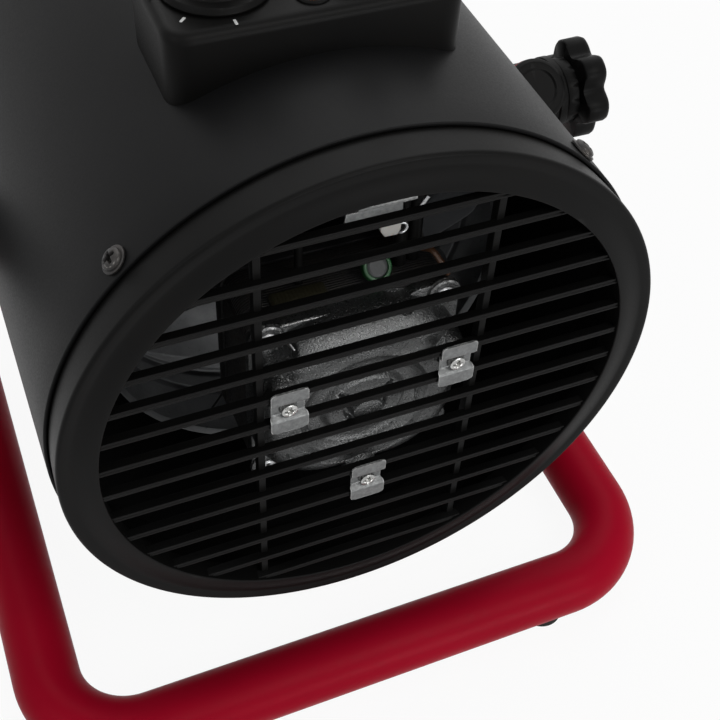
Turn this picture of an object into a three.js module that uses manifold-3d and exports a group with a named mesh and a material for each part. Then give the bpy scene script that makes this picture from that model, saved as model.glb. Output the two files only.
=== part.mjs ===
// A round drum fan heater on a tilting tube stand.
// Millimetres, +Z up. The warm air leaves at the front, towards -Y, and the slatted inlet faces +Y.
// The origin is on the floor, in the middle of the heater's outline seen from above.
// Left and right are those of a person who stands behind the heater, so left is +X.

import * as THREE from 'three';
import Module from 'manifold-3d';
import { mergeVertices } from 'three/addons/utils/BufferGeometryUtils.js';

// Clearance between pieces that touch, and how far a cutter runs past what it cuts
const seatGap = 0.3;
const overrun = 2;

// Drum: depths are measured forward from the edge of the rear opening
const drumRadius = 99.3;
const shellWall = 1.2;
const drumDepth = 250;
const pivotDepth = 131;
const partingDepth = 12.9;

// Plastic rings at both ends of the drum
const ringInset = 0.8;
const annulusWidth = 12.2;
const ringTaper = 0.6;
const lipRound = 0.8;
const lipWall = 2.2;
const lipDepth = 7.5;
const ridgeDepth = 1.9;
const ridgeSoftness = 2.8;
const ridgeStartShare = 0.25;
const ridgeEndShare = 1.5;
const ringWall = 2.6;
const spigotLength = 16;
const spigotWall = 3.2;
const spigotStep = 2.4;

// Slats of the rear grille, and the two ribs behind them
const slatPitch = 12;
const slatHeight = 2.3;
const slatStart = 1;
const slatDepth = 3.2;
const slatBite = 0.3;
const slatGroove = 0.5;
const slatTaperShare = 0.7;
const ribWidth = 2.4;
const ribStart = 3.3;
const ribDepth = 4;
const ribPitches = 3;

// Wire guard in the outlet
const wireRadius = 1.5;
const wireRings = 6;
const spokeCount = 6;
const hubPlateRadius = 15;
const hubPlateThickness = 2;

// Motor: it hangs on three screws through the gaps between slats
const bossFace = 4.6;
const bossRadius = 5.5;
const plateauFace = 6.5;
const plateauRadius = 26;
const grooveInner = 13;
const grooveOuter = 17.5;
const grooveDepth = 3.5;
const grooveDraft = 1;
const petalSlotWidth = 2;
const shoulderFace = 9.5;
const bellCorner = 26;
const bellBevel = 3;
const flangeFace = 17.5;
const flangeCorner = 7;
const bellFront = 21;
const bellRim = 3;
const statorDepth = 23;
const statorInset = 0.6;
const statorBore = 20;
const frontBellDepth = 9;
const rotorGap = 0.5;
const shaftRadius = 4;
const shaftPocketFace = 9;
const bearingBossRadius = 8;
const bellCavityFace = 13;
const bellCavityRadius = 24;
const rivetInset = 5;
const rivetRadius = 1.6;
const rivetHeadRadius = 3;
const rivetHeadHeight = 1.6;
const rivetTopShare = 0.6;

// Screws: pan heads
const screwHeadRadius = 2.7;
const screwHeadHeight = 1.9;
const screwRadius = 1.5;
const screwLength = 11;
const recessWidth = 0.7;
const screwRimShare = 0.45;
const screwTopShare = 0.7;
const recessReachShare = 0.62;
const recessFloorShare = 0.35;
const shellScrewHeadRadius = 4.2;
const shellScrewHeadHeight = 2.6;
const shellScrewRadius = 2;
const shellScrewLength = 5;
const shellScrewDepth = 18.5;
const shellScrewAngle = 44.5;

// Clips that hold the motor to the slats
const clipWidth = 12;
const clipSheet = 0.7;
const clipReach = 2.9;
const clipStep = 2.2;
const clipSlope = 0.9;
const clipFoot = 2.4;
const clipPadGap = 0.6;
const clipBossGap = 0.95;

// Fan
const bladeCount = 5;
const bladeSheet = 1.6;
const bladeRootChord = 24;
const bladeTipChord = 50;
const bladeRootAngle = 44;
const bladeTipAngle = 24;
const bladeStartAngle = -73;
const bladeWidenShare = 0.7;
const hubRadius = 15;
const hubLength = 19;
const hubStandoff = 8;
const shaftProud = 3;

// Air duct round the fan and the heating elements
const throatClearance = 3.2;
const ductSheet = 0.8;
const ductClearance = 17.3;
const throatStep = 8.8;
const throatLength = 34;
const coneLength = 14;
const ductLip = 1.5;
const ductFrontSetback = 18;
const ductLeadIn = 1;
const bracketLength = 30;
const bracketSheet = 1.2;
const bracketFlange = 10;
const rearBracketDepth = 116;
const frontBracketSetback = 50;
const bracketAngles = [45, 135, 225, 315];

// Heating elements, each a ring with two legs towards the fan
const elementTube = 3.25;
const elementInset = 16;
const elementSpacing = 20;
const elementDepth = 160;
const elementGapHalf = 15;
const elementLegBend = 9;
const elementLegLength = 40;
const elementLegShares = [1 / 3, 2 / 3, 1, 2];
const terminalRadius = 1.6;
const terminalLength = 9;
const elementPlateSetback = 34;
const elementPlateDepth = elementDepth - elementPlateSetback;
const elementPlateSheet = 1.5;
const elementPlateMargin = 6;
const supportSheet = 1.2;
const supportLength = 14;
const spiderAngles = [90, 210, 330];
const cutoutRadius = 8;
const cutoutHeight = 7;
const cutoutTab = 6;
const cutoutTabSheet = 0.8;
const cutoutCapShare = 0.7;
const cutoutTabShare = 0.45;

// Controls on top of the drum and below its skin
const housingStart = 50;
const housingLength = 42;
const housingHalfWidth = 44;
const housingHeight = 12.7;
const housingCorner = 8;
const housingBevel = 2.5;
const housingWall = 2.4;
const controlOffset = 24;
const controlBodyWidth = 26;
const controlBodyLength = 28;
const controlBodyHeight = 18;
const controlFootShare = 0.35;
const controlPlateSheet = 1.2;
const controlPlateHalfWidth = 40;
const controlPlateMargin = 2;
const tongueWidth = 18;
const tongueCentre = 7;
const tongueStart = 16;
const spindleRadius = 3;
const spindleBite = 6;
const knobSkirtRadius = 16;
const knobSkirtHeight = 3;
const knobRadius = 12.5;
const knobHeight = 14;
const knobPointerWidth = 4;
const knobPointerRise = 2;
const knobRimShare = 0.6;
const knobTopShare = 0.92;
const knobPointerShare = 0.8;
const lampRadius = 4;
const lampRise = 2.5;
const lampSetback = 9;
const lampRimShare = 0.4;
const lampDomeShares = [0.6, 0.85];
const terminalBlockWidth = 13;
const terminalBlockLength = 22;
const terminalBlockHeight = 10;
const terminalSlotShares = [0.25, 0.5, 0.75];
const terminalSlotShare = 0.6;
const terminalSlotWidth = 1.2;

// Carrying handle
const handleStart = 95;
const handleLength = 116;
const handleWidth = 22;
const handleGap = 36.7;
const handleThickness = 15;
const handlePost = 15;
const handleLean = 6;
const handleCorner = 14;
const handleBevel = 2.5;
const handleInnerCornerShare = 0.7;
const handleScrewRadius = 2.5;
const handleScrewLength = 14;
const handleScrewHeadRadius = 4.6;
const handleScrewHeadHeight = 3;

// Cable gland, low on the right side
const glandDepth = 62;
const glandAngle = 215;
const glandRadius = 9;
const glandBore = 4;
const glandLength = 13;
const glandNutLength = 5;
const glandThreadRadius = 7;
const glandNutShares = [[1, 0.55], [0.85, 0.8], [0.6, 1]];

// Stand tube
const tubeRadius = 12.5;
const tubeWall = 1.5;
const tubeSideGap = 6.2;
const tubeBendRadius = 32;
const tubeDrop = 131;
const rearBarReach = 144;
const frontCornerReach = 118;
const tubeTopReach = 15;
const capThickness = 3;
const capPlug = 8;
const footRadius = 9;
const footDrop = 2.5;
const footHeight = 6;

// Tilt pivots and their clamping knobs
const pivotBossRadius = 16;
const pivotBossRise = 2.9;
const saddleWall = 2.5;
const saddleBack = 2.8;
const boltRadius = 4;
const boltInnerReach = 12;
const pivotNutRadius = 8;
const pivotNutHeight = 6;
const pivotPlateSize = 26;
const knobHubRadius = 13;
const knobHubLength = 5;
const gripRadius = 18;
const gripLobeRadius = 5;
const gripLobes = 6;
const gripLength = 11;
const knobWall = 3;

// Wires inside the drum
const wireSkinRadius = 1.3;
const wireBend = 8;
const leadOffsetShare = 0.7;
const leadEndShare = 0.6;
const earthEndShare = 0.4;
const earthHeightShare = 0.8;

// How finely round pieces are divided
const ringSegments = 40;
const ductSegments = 32;
const mediumSegments = 16;
const smallSegments = 12;
const screwSegments = 8;
const tubeSides = 14;
const boreSides = 8;
const bendSteps = 4;
const elementSides = 6;
const elementSteps = 20;
const bladeSteps = [5, 1, 2];
const wireSides = 6;
const nutSides = 6;

// Places that follow from the sizes above
const shellInner = drumRadius - shellWall;
const ridgeRadius = drumRadius - ringInset;
const openingRadius = ridgeRadius - annulusWidth;
const ringSideRadius = ridgeRadius - ringTaper;
const spigotRadius = shellInner - seatGap;
const spigotEnd = partingDepth + spigotLength;
const motorDrop = slatPitch / 3;
const boltCircleRadius = (slatPitch * 8) / 3;
const motorHalf = boltCircleRadius + bellRim;
const statorStart = bellFront + seatGap;
const frontBellStart = statorStart + statorDepth + seatGap;
const hubStart = frontBellStart + frontBellDepth + hubStandoff;
const hubEnd = hubStart + hubLength;
const ductRadius = shellInner - ductSheet - ductClearance;
const throatRadius = ductRadius - throatStep;
const bladeTip = throatRadius - throatClearance;
const elementRadii = [ductRadius - elementInset, ductRadius - elementInset - elementSpacing];
const ductStart = hubStart - ductLeadIn;
const ductEnd = drumDepth - ductFrontSetback;
const bracketDepths = [rearBracketDepth, drumDepth - frontBracketSetback];
const tubeSide = drumRadius + tubeSideGap + tubeRadius;
const axisHeight = footDrop + tubeRadius + tubeDrop;
const tubeHeight = footDrop + tubeRadius;
const bossOuter = drumRadius + pivotBossRise;
const saddleInner = bossOuter + seatGap;
const saddleRadius = tubeRadius + saddleWall;
const saddleOuter = tubeSide + tubeRadius + saddleBack;
const knobStart = saddleOuter + seatGap;
const housingTop = drumRadius + housingHeight;
const controlDepth = housingStart + housingLength / 2;
const controlPlateHeight = throatRadius + ductLip + ductSheet + seatGap - motorDrop;
const controlBodyBase = controlPlateHeight + controlPlateSheet + seatGap;
const controlBodyTop = controlBodyBase + controlBodyHeight;
const handleEnd = handleStart + handleLength;
const gripTop = drumRadius + handleGap + handleThickness;
const clipBossRadius = (slatPitch - slatHeight) / 2 - clipBossGap;
const clipHeights = [slatPitch, slatPitch, -3 * slatPitch];
const clipSides = [1, -1, 0];

const wasm = await Module();
wasm.setup();

// Solids: join, cut and keep the common part of closed geometries

function solidOf(geometry) {
  const bare = geometry.clone();
  bare.deleteAttribute('normal');
  bare.deleteAttribute('uv');
  const merged = mergeVertices(bare);
  const index = merged.index.array;
  const triangles = [];
  for (let i = 0; i < index.length; i += 3) {
    const [a, b, c] = [index[i], index[i + 1], index[i + 2]];
    if (a !== b && b !== c && c !== a) triangles.push(a, b, c);
  }
  return new wasm.Manifold(new wasm.Mesh({
    numProp: 3,
    vertProperties: new Float32Array(merged.attributes.position.array),
    triVerts: new Uint32Array(triangles),
  }));
}

function geometryOf(solid) {
  const mesh = solid.getMesh();
  const geometry = new THREE.BufferGeometry();
  geometry.setAttribute('position', new THREE.BufferAttribute(mesh.vertProperties, 3));
  geometry.setIndex(new THREE.BufferAttribute(mesh.triVerts, 1));
  return geometry;
}

function join(...pieces) {
  return geometryOf(pieces.map(solidOf).reduce((sum, piece) => sum.add(piece)));
}

function cut(body, ...tools) {
  return geometryOf(tools.map(solidOf).reduce((rest, tool) => rest.subtract(tool), solidOf(body)));
}

function common(body, mould) {
  return geometryOf(solidOf(body).intersect(solidOf(mould)));
}

// Basic shapes

function degrees(angle) {
  return THREE.MathUtils.degToRad(angle);
}

function inOrder(a, b) {
  return [Math.min(a, b), Math.max(a, b)];
}

function yAt(depth) {
  return pivotDepth - depth;
}

// A ring turned about the Y axis from a closed outline of [radius, y] points.
function ring(outline, segments = ringSegments) {
  const points = outline.map(([radius, y]) => new THREE.Vector2(radius, y));
  if (THREE.ShapeUtils.isClockWise(points)) points.reverse();
  points.push(points[0].clone());
  return new THREE.LatheGeometry(points, segments);
}

// A solid turned about the Y axis from [radius, y] points that start and end on the axis.
function turned(outline, segments = smallSegments) {
  return new THREE.LatheGeometry(outline.map(([radius, y]) => new THREE.Vector2(radius, y)), segments);
}

// A cylinder along Y from one y to another.
function rod(radius, from, to, segments = smallSegments) {
  const length = Math.abs(to - from);
  return new THREE.CylinderGeometry(radius, radius, length, segments).translate(0, (from + to) / 2, 0);
}

// A cylinder along X from one x to another.
function rodX(radius, from, to, segments = smallSegments) {
  return rod(radius, -to, -from, segments).rotateZ(Math.PI / 2);
}

// A cylinder along Z from one z to another.
function rodZ(radius, from, to, segments = smallSegments) {
  return rod(radius, from, to, segments).rotateX(Math.PI / 2);
}

// A block given by its lowest and highest corners.
function block(low, high) {
  const size = high.map((value, axis) => value - low[axis]);
  const middle = high.map((value, axis) => (value + low[axis]) / 2);
  return new THREE.BoxGeometry(...size).translate(...middle);
}

// A closed shape with each corner rounded by its own radius.
function roundedShape(corners) {
  const shape = new THREE.Shape();
  corners.forEach(([x, y, radius], i) => {
    const here = new THREE.Vector2(x, y);
    const before = new THREE.Vector2(...corners.at(i - 1));
    const after = new THREE.Vector2(...corners[(i + 1) % corners.length]);
    const from = here.clone().add(before.sub(here).setLength(radius));
    const to = here.clone().add(after.sub(here).setLength(radius));
    if (i === 0) shape.moveTo(from.x, from.y);
    else shape.lineTo(from.x, from.y);
    if (radius > 0) shape.quadraticCurveTo(here.x, here.y, to.x, to.y);
  });
  shape.closePath();
  return shape;
}

function roundedSquare(half, radius) {
  const middle = half - radius;
  const shape = new THREE.Shape();
  for (let quarter = 0; quarter < 4; quarter += 1) {
    const turn = (quarter * Math.PI) / 2;
    const centre = new THREE.Vector2(middle, middle).rotateAround(new THREE.Vector2(), turn);
    shape.absarc(centre.x, centre.y, radius, turn, turn + Math.PI / 2);
  }
  return shape;
}

// A bent sheet's edge: a line of points with the sheet's thickness about it.
function ribbon(line, thickness) {
  const points = line.map(([x, y]) => new THREE.Vector2(x, y));
  const side = (sign) => points.map((point, i) => {
    const before = points[Math.max(i - 1, 0)];
    const after = points[Math.min(i + 1, points.length - 1)];
    const run = after.clone().sub(before).normalize();
    return new THREE.Vector2(-run.y, run.x).multiplyScalar((sign * thickness) / 2).add(point);
  });
  return new THREE.Shape([...side(-1), ...side(1).reverse()]);
}

function extruded(shape, depth, bevel = 0, curveSegments = 3) {
  return new THREE.ExtrudeGeometry(shape, {
    depth: depth - 2 * bevel,
    curveSegments,
    bevelEnabled: bevel > 0,
    bevelThickness: bevel,
    bevelSize: bevel,
    bevelOffset: -bevel,
    bevelSegments: 1,
  }).translate(0, 0, bevel);
}

// An outline drawn in Y and Z, extruded along X about the middle plane.
function acrossX(shape, width, bevel = 0) {
  const axes = new THREE.Matrix4().makeBasis(
    new THREE.Vector3(0, 1, 0),
    new THREE.Vector3(0, 0, 1),
    new THREE.Vector3(1, 0, 0),
  );
  return extruded(shape, width, bevel).translate(0, 0, -width / 2).applyMatrix4(axes);
}

// An outline drawn in X and Z, extruded forward from one depth to another.
function forward(shape, fromDepth, toDepth, bevel = 0) {
  const geometry = extruded(shape, toDepth - fromDepth, bevel);
  return geometry.rotateX(Math.PI / 2).translate(0, yAt(fromDepth), 0);
}

// A path through chosen stations, so that a straight run is one step and a bend a few.
class StationPath extends THREE.Curve {
  constructor(stations) {
    super();
    this.stations = stations;
  }

  getSpacedPoints() {
    return this.stations.map(({ point }) => point);
  }

  getTangentAt(share, target = new THREE.Vector3()) {
    const index = Math.round(share * (this.stations.length - 1));
    return target.copy(this.stations[index].direction);
  }
}

// Stations along straight runs between corners, with an arc at each inner corner.
function bentStations(corners, radius, steps = bendSteps) {
  const places = corners.map((corner) => new THREE.Vector3(...corner));
  const runs = places.slice(1).map((place, i) => place.clone().sub(places[i]).normalize());
  const stations = [{ point: places[0], direction: runs[0] }];
  for (let i = 1; i < places.length - 1; i += 1) {
    const [before, after] = [runs[i - 1], runs[i]];
    const turn = before.angleTo(after);
    const inward = after.clone().addScaledVector(before, -Math.cos(turn)).normalize();
    const start = places[i].clone().addScaledVector(before, -radius * Math.tan(turn / 2));
    for (let step = 0; step <= steps; step += 1) {
      const angle = (turn * step) / steps;
      const point = start.clone()
        .addScaledVector(before, radius * Math.sin(angle))
        .addScaledVector(inward, radius * (1 - Math.cos(angle)));
      const direction = before.clone().multiplyScalar(Math.cos(angle));
      stations.push({ point, direction: direction.addScaledVector(inward, Math.sin(angle)) });
    }
  }
  stations.push({ point: places.at(-1), direction: runs.at(-1) });
  return stations;
}

function circleOutline(radius, sides) {
  const points = Array.from({ length: sides }, (_, i) => {
    const angle = (i * 2 * Math.PI) / sides;
    return new THREE.Vector2(radius * Math.cos(angle), radius * Math.sin(angle));
  });
  return new THREE.Shape(points);
}

function swept(shape, stations) {
  return new THREE.ExtrudeGeometry(shape, {
    steps: stations.length - 1,
    extrudePath: new StationPath(stations),
  });
}

// A pan head screw along Y: its head's underside is at y = 0 and its shank points to -Y.
function panScrew(headRadius, headHeight, radius, length) {
  return turned([
    [0, -length],
    [radius, -length],
    [radius, 0],
    [headRadius, 0],
    [headRadius, headHeight * screwRimShare],
    [headRadius * screwTopShare, headHeight],
    [0, headHeight],
  ], screwSegments);
}

// A cross recess, cut into a screw's head.
function crossRecess(headRadius, headHeight) {
  const reach = headRadius * recessReachShare;
  const floor = headHeight * recessFloorShare;
  const top = headHeight + overrun;
  const half = recessWidth / 2;
  const across = block([-reach, floor, -half], [reach, top, half]);
  return join(across, block([-half, floor, -reach], [half, top, reach]));
}

// The radius of a many-sided hole that clears a round piece all round.
function holeRound(radius, sides) {
  return (radius + seatGap) / Math.cos(Math.PI / sides);
}

// Turns a piece made on the Y axis so that +Y points out of the drum at an angle from +X.
function radial(geometry, radius, angle, depth) {
  return geometry
    .rotateZ(-Math.PI / 2)
    .translate(radius, 0, 0)
    .rotateY(-degrees(angle))
    .translate(0, yAt(depth), 0);
}

// Materials

function material(color, roughness, metalness = 0) {
  return new THREE.MeshStandardMaterial({ color, roughness, metalness });
}

const blackPlastic = material(0x222324, 0.5);
const blackPaint = material(0x1f2022, 0.45, 0.2);
const redPaint = material(0x8b0a1c, 0.3);
const castAlloy = material(0x8c8f90, 0.5, 0.8);
const zincSheet = material(0xb4b8b8, 0.35, 0.9);
const steel = material(0x9a9da0, 0.35, 0.9);
const darkSteel = material(0x2a2b2d, 0.6, 0.5);
const bladeAlloy = material(0xa9acae, 0.4, 0.8);
const heaterSheath = material(0x6d6a66, 0.45, 0.8);
const rubber = material(0x1a1a1a, 0.85);
const whiteNylon = material(0xe6e4de, 0.5);
const amberLens = material(0xc8641a, 0.2);
const brownWire = material(0x6b4325, 0.55);
const greenWire = material(0x2d8a3c, 0.55);

function addPart(group, name, geometry, look) {
  const mesh = new THREE.Mesh(geometry, look);
  mesh.name = name;
  group.add(mesh);
}

// Stand

function uprightDirection() {
  return new THREE.Vector3(0, frontCornerReach, tubeDrop).normalize();
}

// The tube's end above the pivot, in the stand's frame where y = 0 is the pivot.
function tubeTop(side) {
  const top = uprightDirection().multiplyScalar(tubeTopReach);
  return [side * tubeSide, top.y, axisHeight + top.z];
}

function standCorners() {
  const front = (side) => [side * tubeSide, -frontCornerReach, tubeHeight];
  const rear = (side) => [side * tubeSide, rearBarReach, tubeHeight];
  return [tubeTop(1), front(1), rear(1), rear(-1), front(-1), tubeTop(-1)];
}

function boltHole(radius) {
  const reach = saddleOuter + overrun;
  return rodX(radius, -reach, reach).translate(0, 0, axisHeight);
}

function standTube() {
  const section = circleOutline(tubeRadius, tubeSides);
  section.holes.push(circleOutline(tubeRadius - tubeWall, boreSides));
  const tube = swept(section, bentStations(standCorners(), tubeBendRadius));
  return cut(tube, boltHole(boltRadius + 2 * seatGap));
}

// A straight rod along the upright's middle line, used to shape what fits round or into it.
function uprightRod(radius, from, to, side) {
  const tilt = Math.atan2(tubeDrop, frontCornerReach);
  return rod(radius, from, to, tubeSides).rotateX(tilt).translate(side * tubeSide, 0, axisHeight);
}

function tubeEndCap(side) {
  const seat = tubeTopReach + seatGap;
  const head = uprightRod(tubeRadius, seat, seat + capThickness, side);
  const bore = (tubeRadius - tubeWall) * Math.cos(Math.PI / boreSides);
  const plug = uprightRod(bore - seatGap, tubeTopReach - capPlug, seat + capThickness / 2, side);
  return join(head, plug);
}

// A moulded block round the tube, with flat cheeks for the boss and for the clamp knob.
function pivotBlock(side) {
  const puck = rodX(saddleRadius, saddleInner, saddleOuter, mediumSegments);
  if (side < 0) puck.translate(-saddleInner - saddleOuter, 0, 0);
  const tube = uprightRod(holeRound(tubeRadius, tubeSides), -2 * saddleRadius, 2 * saddleRadius, side);
  return cut(puck.translate(0, 0, axisHeight), tube, boltHole(boltRadius + 2 * seatGap));
}

function foot(x, y, alongRun) {
  const pad = rodZ(footRadius, 0, footHeight).translate(x, y, 0);
  const reach = footRadius + overrun;
  const groove = holeRound(tubeRadius, tubeSides);
  const tube = alongRun ? rod(groove, -reach, reach, tubeSides) : rodX(groove, -reach, reach, tubeSides);
  return cut(pad, tube.translate(x, y, tubeHeight));
}

// The front feet stand where the floor run gets straight behind its bend, the rear ones at the bar's ends.
function frontFootPlace() {
  const turn = Math.PI - uprightDirection().angleTo(new THREE.Vector3(0, 1, 0));
  return tubeBendRadius * Math.tan(turn / 2) + footRadius - frontCornerReach;
}

function addStand(group) {
  addPart(group, 'stand_tube', standTube(), redPaint);
  for (const [name, side] of [['left', 1], ['right', -1]]) {
    addPart(group, `tube_cap_${name}`, tubeEndCap(side), blackPlastic);
    addPart(group, `pivot_block_${name}`, pivotBlock(side), blackPlastic);
    addPart(group, `foot_front_${name}`, foot(side * tubeSide, frontFootPlace(), true), rubber);
    const rearFoot = side * (tubeSide - tubeBendRadius - footRadius);
    addPart(group, `foot_rear_${name}`, foot(rearFoot, rearBarReach, false), rubber);
  }
}

// Tilt pivots: they turn with the drum

function pivotBoss(side) {
  const reach = drumRadius + pivotBossRise;
  const start = Math.sqrt(drumRadius ** 2 - pivotBossRadius ** 2) - overrun;
  const puck = rodX(pivotBossRadius, ...inOrder(side * start, side * reach), mediumSegments);
  return cut(puck, skinCutter(drumRadius + seatGap), pivotHole());
}

function pivotHole() {
  const reach = knobStart + overrun;
  return rodX(boltRadius + seatGap, -reach, reach);
}

// A welded nut on a small plate that lies against the inside of the shell.
function pivotNut(side) {
  const half = pivotPlateSize / 2;
  const outer = Math.sqrt((shellInner - 2 * seatGap) ** 2 - half ** 2);
  const inner = outer - bracketSheet;
  const [left, right] = inOrder(side * inner, side * outer);
  const plate = block([left, -half, -half], [right, half, half]);
  const end = inner - pivotNutHeight;
  const nut = rodX(pivotNutRadius, ...inOrder(side * inner, side * end), nutSides);
  return cut(join(plate, nut), pivotHole());
}

function clampBolt(side) {
  const start = shellInner - boltInnerReach;
  const end = knobStart + knobHubLength + gripLength - knobWall - seatGap;
  return rodX(boltRadius, ...inOrder(side * start, side * end));
}

// A star knob on the bolt's outer end, closed over it.
function clampKnob(side) {
  const hub = rod(knobHubRadius, 0, knobHubLength + overrun);
  const gripEnd = knobHubLength + gripLength;
  const grip = rod(gripRadius - gripLobeRadius / 2, knobHubLength, gripEnd);
  const lobes = Array.from({ length: gripLobes }, (_, i) => {
    const angle = (i * 2 * Math.PI) / gripLobes;
    const reach = gripRadius - gripLobeRadius / 2;
    const lobe = rod(gripLobeRadius, knobHubLength, gripEnd, screwSegments);
    return lobe.translate(reach * Math.cos(angle), 0, reach * Math.sin(angle));
  });
  const socket = rod(boltRadius + seatGap, -overrun, gripEnd - knobWall);
  const knob = cut(join(hub, grip, ...lobes), socket);
  return knob.rotateZ((-side * Math.PI) / 2).translate(side * knobStart, 0, 0);
}

// Rings and grilles

// One ring's outline: depths run inward from its face, forward at the rear and backward at the front.
function ringOutline(faceDepth, inward) {
  const at = (offset) => yAt(faceDepth + inward * offset);
  const wallEnd = ridgeDepth / 2 + ringWall;
  const spigotInner = spigotRadius - spigotWall;
  return [
    [openingRadius, at(lipDepth)],
    [openingRadius, at(lipRound)],
    [openingRadius + lipRound, at(0)],
    [ridgeRadius - ridgeSoftness, at(ridgeDepth * ridgeStartShare)],
    [ridgeRadius - ringTaper, at(ridgeDepth)],
    [ridgeRadius, at(ridgeDepth * ridgeEndShare)],
    [ringSideRadius, at(partingDepth)],
    [spigotRadius, at(partingDepth + spigotStep)],
    [spigotRadius, at(spigotEnd)],
    [spigotInner, at(spigotEnd)],
    [spigotInner, at(wallEnd)],
    [openingRadius + lipWall, at(wallEnd)],
    [openingRadius + lipWall, at(lipDepth)],
  ];
}

function slat(height) {
  const half = slatHeight / 2;
  const rear = yAt(slatStart);
  const front = yAt(slatStart + slatDepth);
  const outline = new THREE.Shape([
    new THREE.Vector2(rear, -half),
    new THREE.Vector2(rear - slatGroove, 0),
    new THREE.Vector2(rear, half),
    new THREE.Vector2(front, half * slatTaperShare),
    new THREE.Vector2(front, -half * slatTaperShare),
  ]);
  const inner = Math.max(Math.abs(height) - half, 0);
  const halfLength = Math.sqrt((openingRadius + slatBite) ** 2 - inner ** 2);
  return acrossX(outline, 2 * halfLength).translate(0, 0, height);
}

function rib(x) {
  const inner = Math.abs(x) - ribWidth / 2;
  const halfLength = Math.sqrt((openingRadius + slatBite) ** 2 - inner ** 2);
  return block([x - ribWidth / 2, yAt(ribStart + ribDepth), -halfLength],
    [x + ribWidth / 2, yAt(ribStart), halfLength]);
}

function rearGrille() {
  const slats = [];
  for (let height = slatPitch / 2; height < openingRadius - slatHeight; height += slatPitch) {
    slats.push(slat(height), slat(-height));
  }
  const ribs = [rib(ribPitches * slatPitch), rib(-ribPitches * slatPitch)];
  return cut(join(ring(ringOutline(0, 1)), ...slats, ...ribs), ...screwHoles(shellScrewDepth));
}

function frontRing() {
  const heads = handleScrewDepths().map((depth) => {
    return rodZ(handleScrewHeadRadius + 2 * seatGap, 0, drumRadius).translate(0, yAt(depth), 0);
  });
  return cut(ring(ringOutline(drumDepth, -1)), ...screwHoles(drumDepth - shellScrewDepth), ...heads);
}

// Circles of wire on flat spokes, with a plain plate in the middle.
function frontGuard() {
  const outer = openingRadius + lipWall / 2;
  const depth = drumDepth - lipDepth - seatGap - wireRadius;
  const rings = Array.from({ length: wireRings }, (_, i) => {
    const radius = (outer * (i + 1)) / wireRings;
    const section = [
      [radius - wireRadius, yAt(depth)],
      [radius, yAt(depth) - wireRadius],
      [radius + wireRadius, yAt(depth)],
      [radius, yAt(depth) + wireRadius],
    ];
    return ring(section, screwSegments + 4 * i);
  });
  const spokes = Array.from({ length: spokeCount }, (_, i) => {
    const [front, rear] = [yAt(depth) + wireRadius / 3, yAt(depth) + wireRadius * 2];
    const spoke = block([0, front, -wireRadius], [outer, rear, wireRadius]);
    return spoke.rotateY((i * 2 * Math.PI) / spokeCount + Math.PI / 2);
  });
  const plateFront = yAt(depth) - wireRadius - hubPlateThickness;
  const plate = rod(hubPlateRadius, plateFront, yAt(depth) + wireRadius, mediumSegments);
  return join(...rings, ...spokes, plate);
}

// Shell, with its screws

function screwAngles() {
  return [90 - shellScrewAngle, 90 + shellScrewAngle, shellScrewAngle - 90, -shellScrewAngle - 90];
}

function screwHoles(depth) {
  const length = spigotWall + shellWall + 4 * overrun;
  return screwAngles().map((angle) => {
    const hole = rod(shellScrewRadius + seatGap, -length, overrun, screwSegments);
    return radial(hole, drumRadius, angle, depth);
  });
}

function shellScrew(depth, angle) {
  const screw = panScrew(shellScrewHeadRadius, shellScrewHeadHeight, shellScrewRadius, shellScrewLength);
  return radial(screw, drumRadius + seatGap, angle, depth);
}

function controlPlaces() {
  return [controlOffset, -controlOffset].map((x) => [x, yAt(controlDepth)]);
}

function handleScrewDepths() {
  const inset = handlePost / 2 + handleLean / 2;
  return [handleStart + inset, handleEnd - inset];
}

function drumShell() {
  const start = yAt(partingDepth + seatGap);
  const end = yAt(drumDepth - partingDepth - seatGap);
  const wall = ring([[shellInner, start], [drumRadius, start], [drumRadius, end], [shellInner, end]]);
  const low = controlPlateHeight;
  const high = drumRadius + overrun;
  const spindles = controlPlaces().map(([x, y]) => {
    return rodZ(spindleRadius + 2 * seatGap, low, high).translate(x, y, 0);
  });
  const lamp = rodZ(lampRadius, low, high).translate(0, yAt(housingStart + lampSetback), 0);
  const screws = handleScrewDepths().map((depth) => {
    return rodZ(handleScrewRadius + seatGap, low, high).translate(0, yAt(depth), 0);
  });
  const glandHole = rod(glandThreadRadius + seatGap, -4 * overrun, overrun);
  const gland = radial(glandHole, drumRadius, glandAngle, glandDepth);
  const bolts = rodX(boltRadius + seatGap, -high, high);
  const rows = [shellScrewDepth, drumDepth - shellScrewDepth].flatMap(screwHoles);
  return cut(wall, ...rows, ...spindles, lamp, ...screws, gland, bolts);
}

// Motor: made round the Y axis, in a group that lies below the drum's axis

function clipPlaces() {
  return clipSides.map((side, i) => {
    const height = clipHeights[i] + motorDrop;
    return [side * Math.sqrt(boltCircleRadius ** 2 - height ** 2), height];
  });
}

// The pads behind the upper clips reach out to the ribs.
function clipPadRadius() {
  return ribPitches * slatPitch - ribWidth / 2 - clipPlaces()[0][0] - clipPadGap;
}

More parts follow.
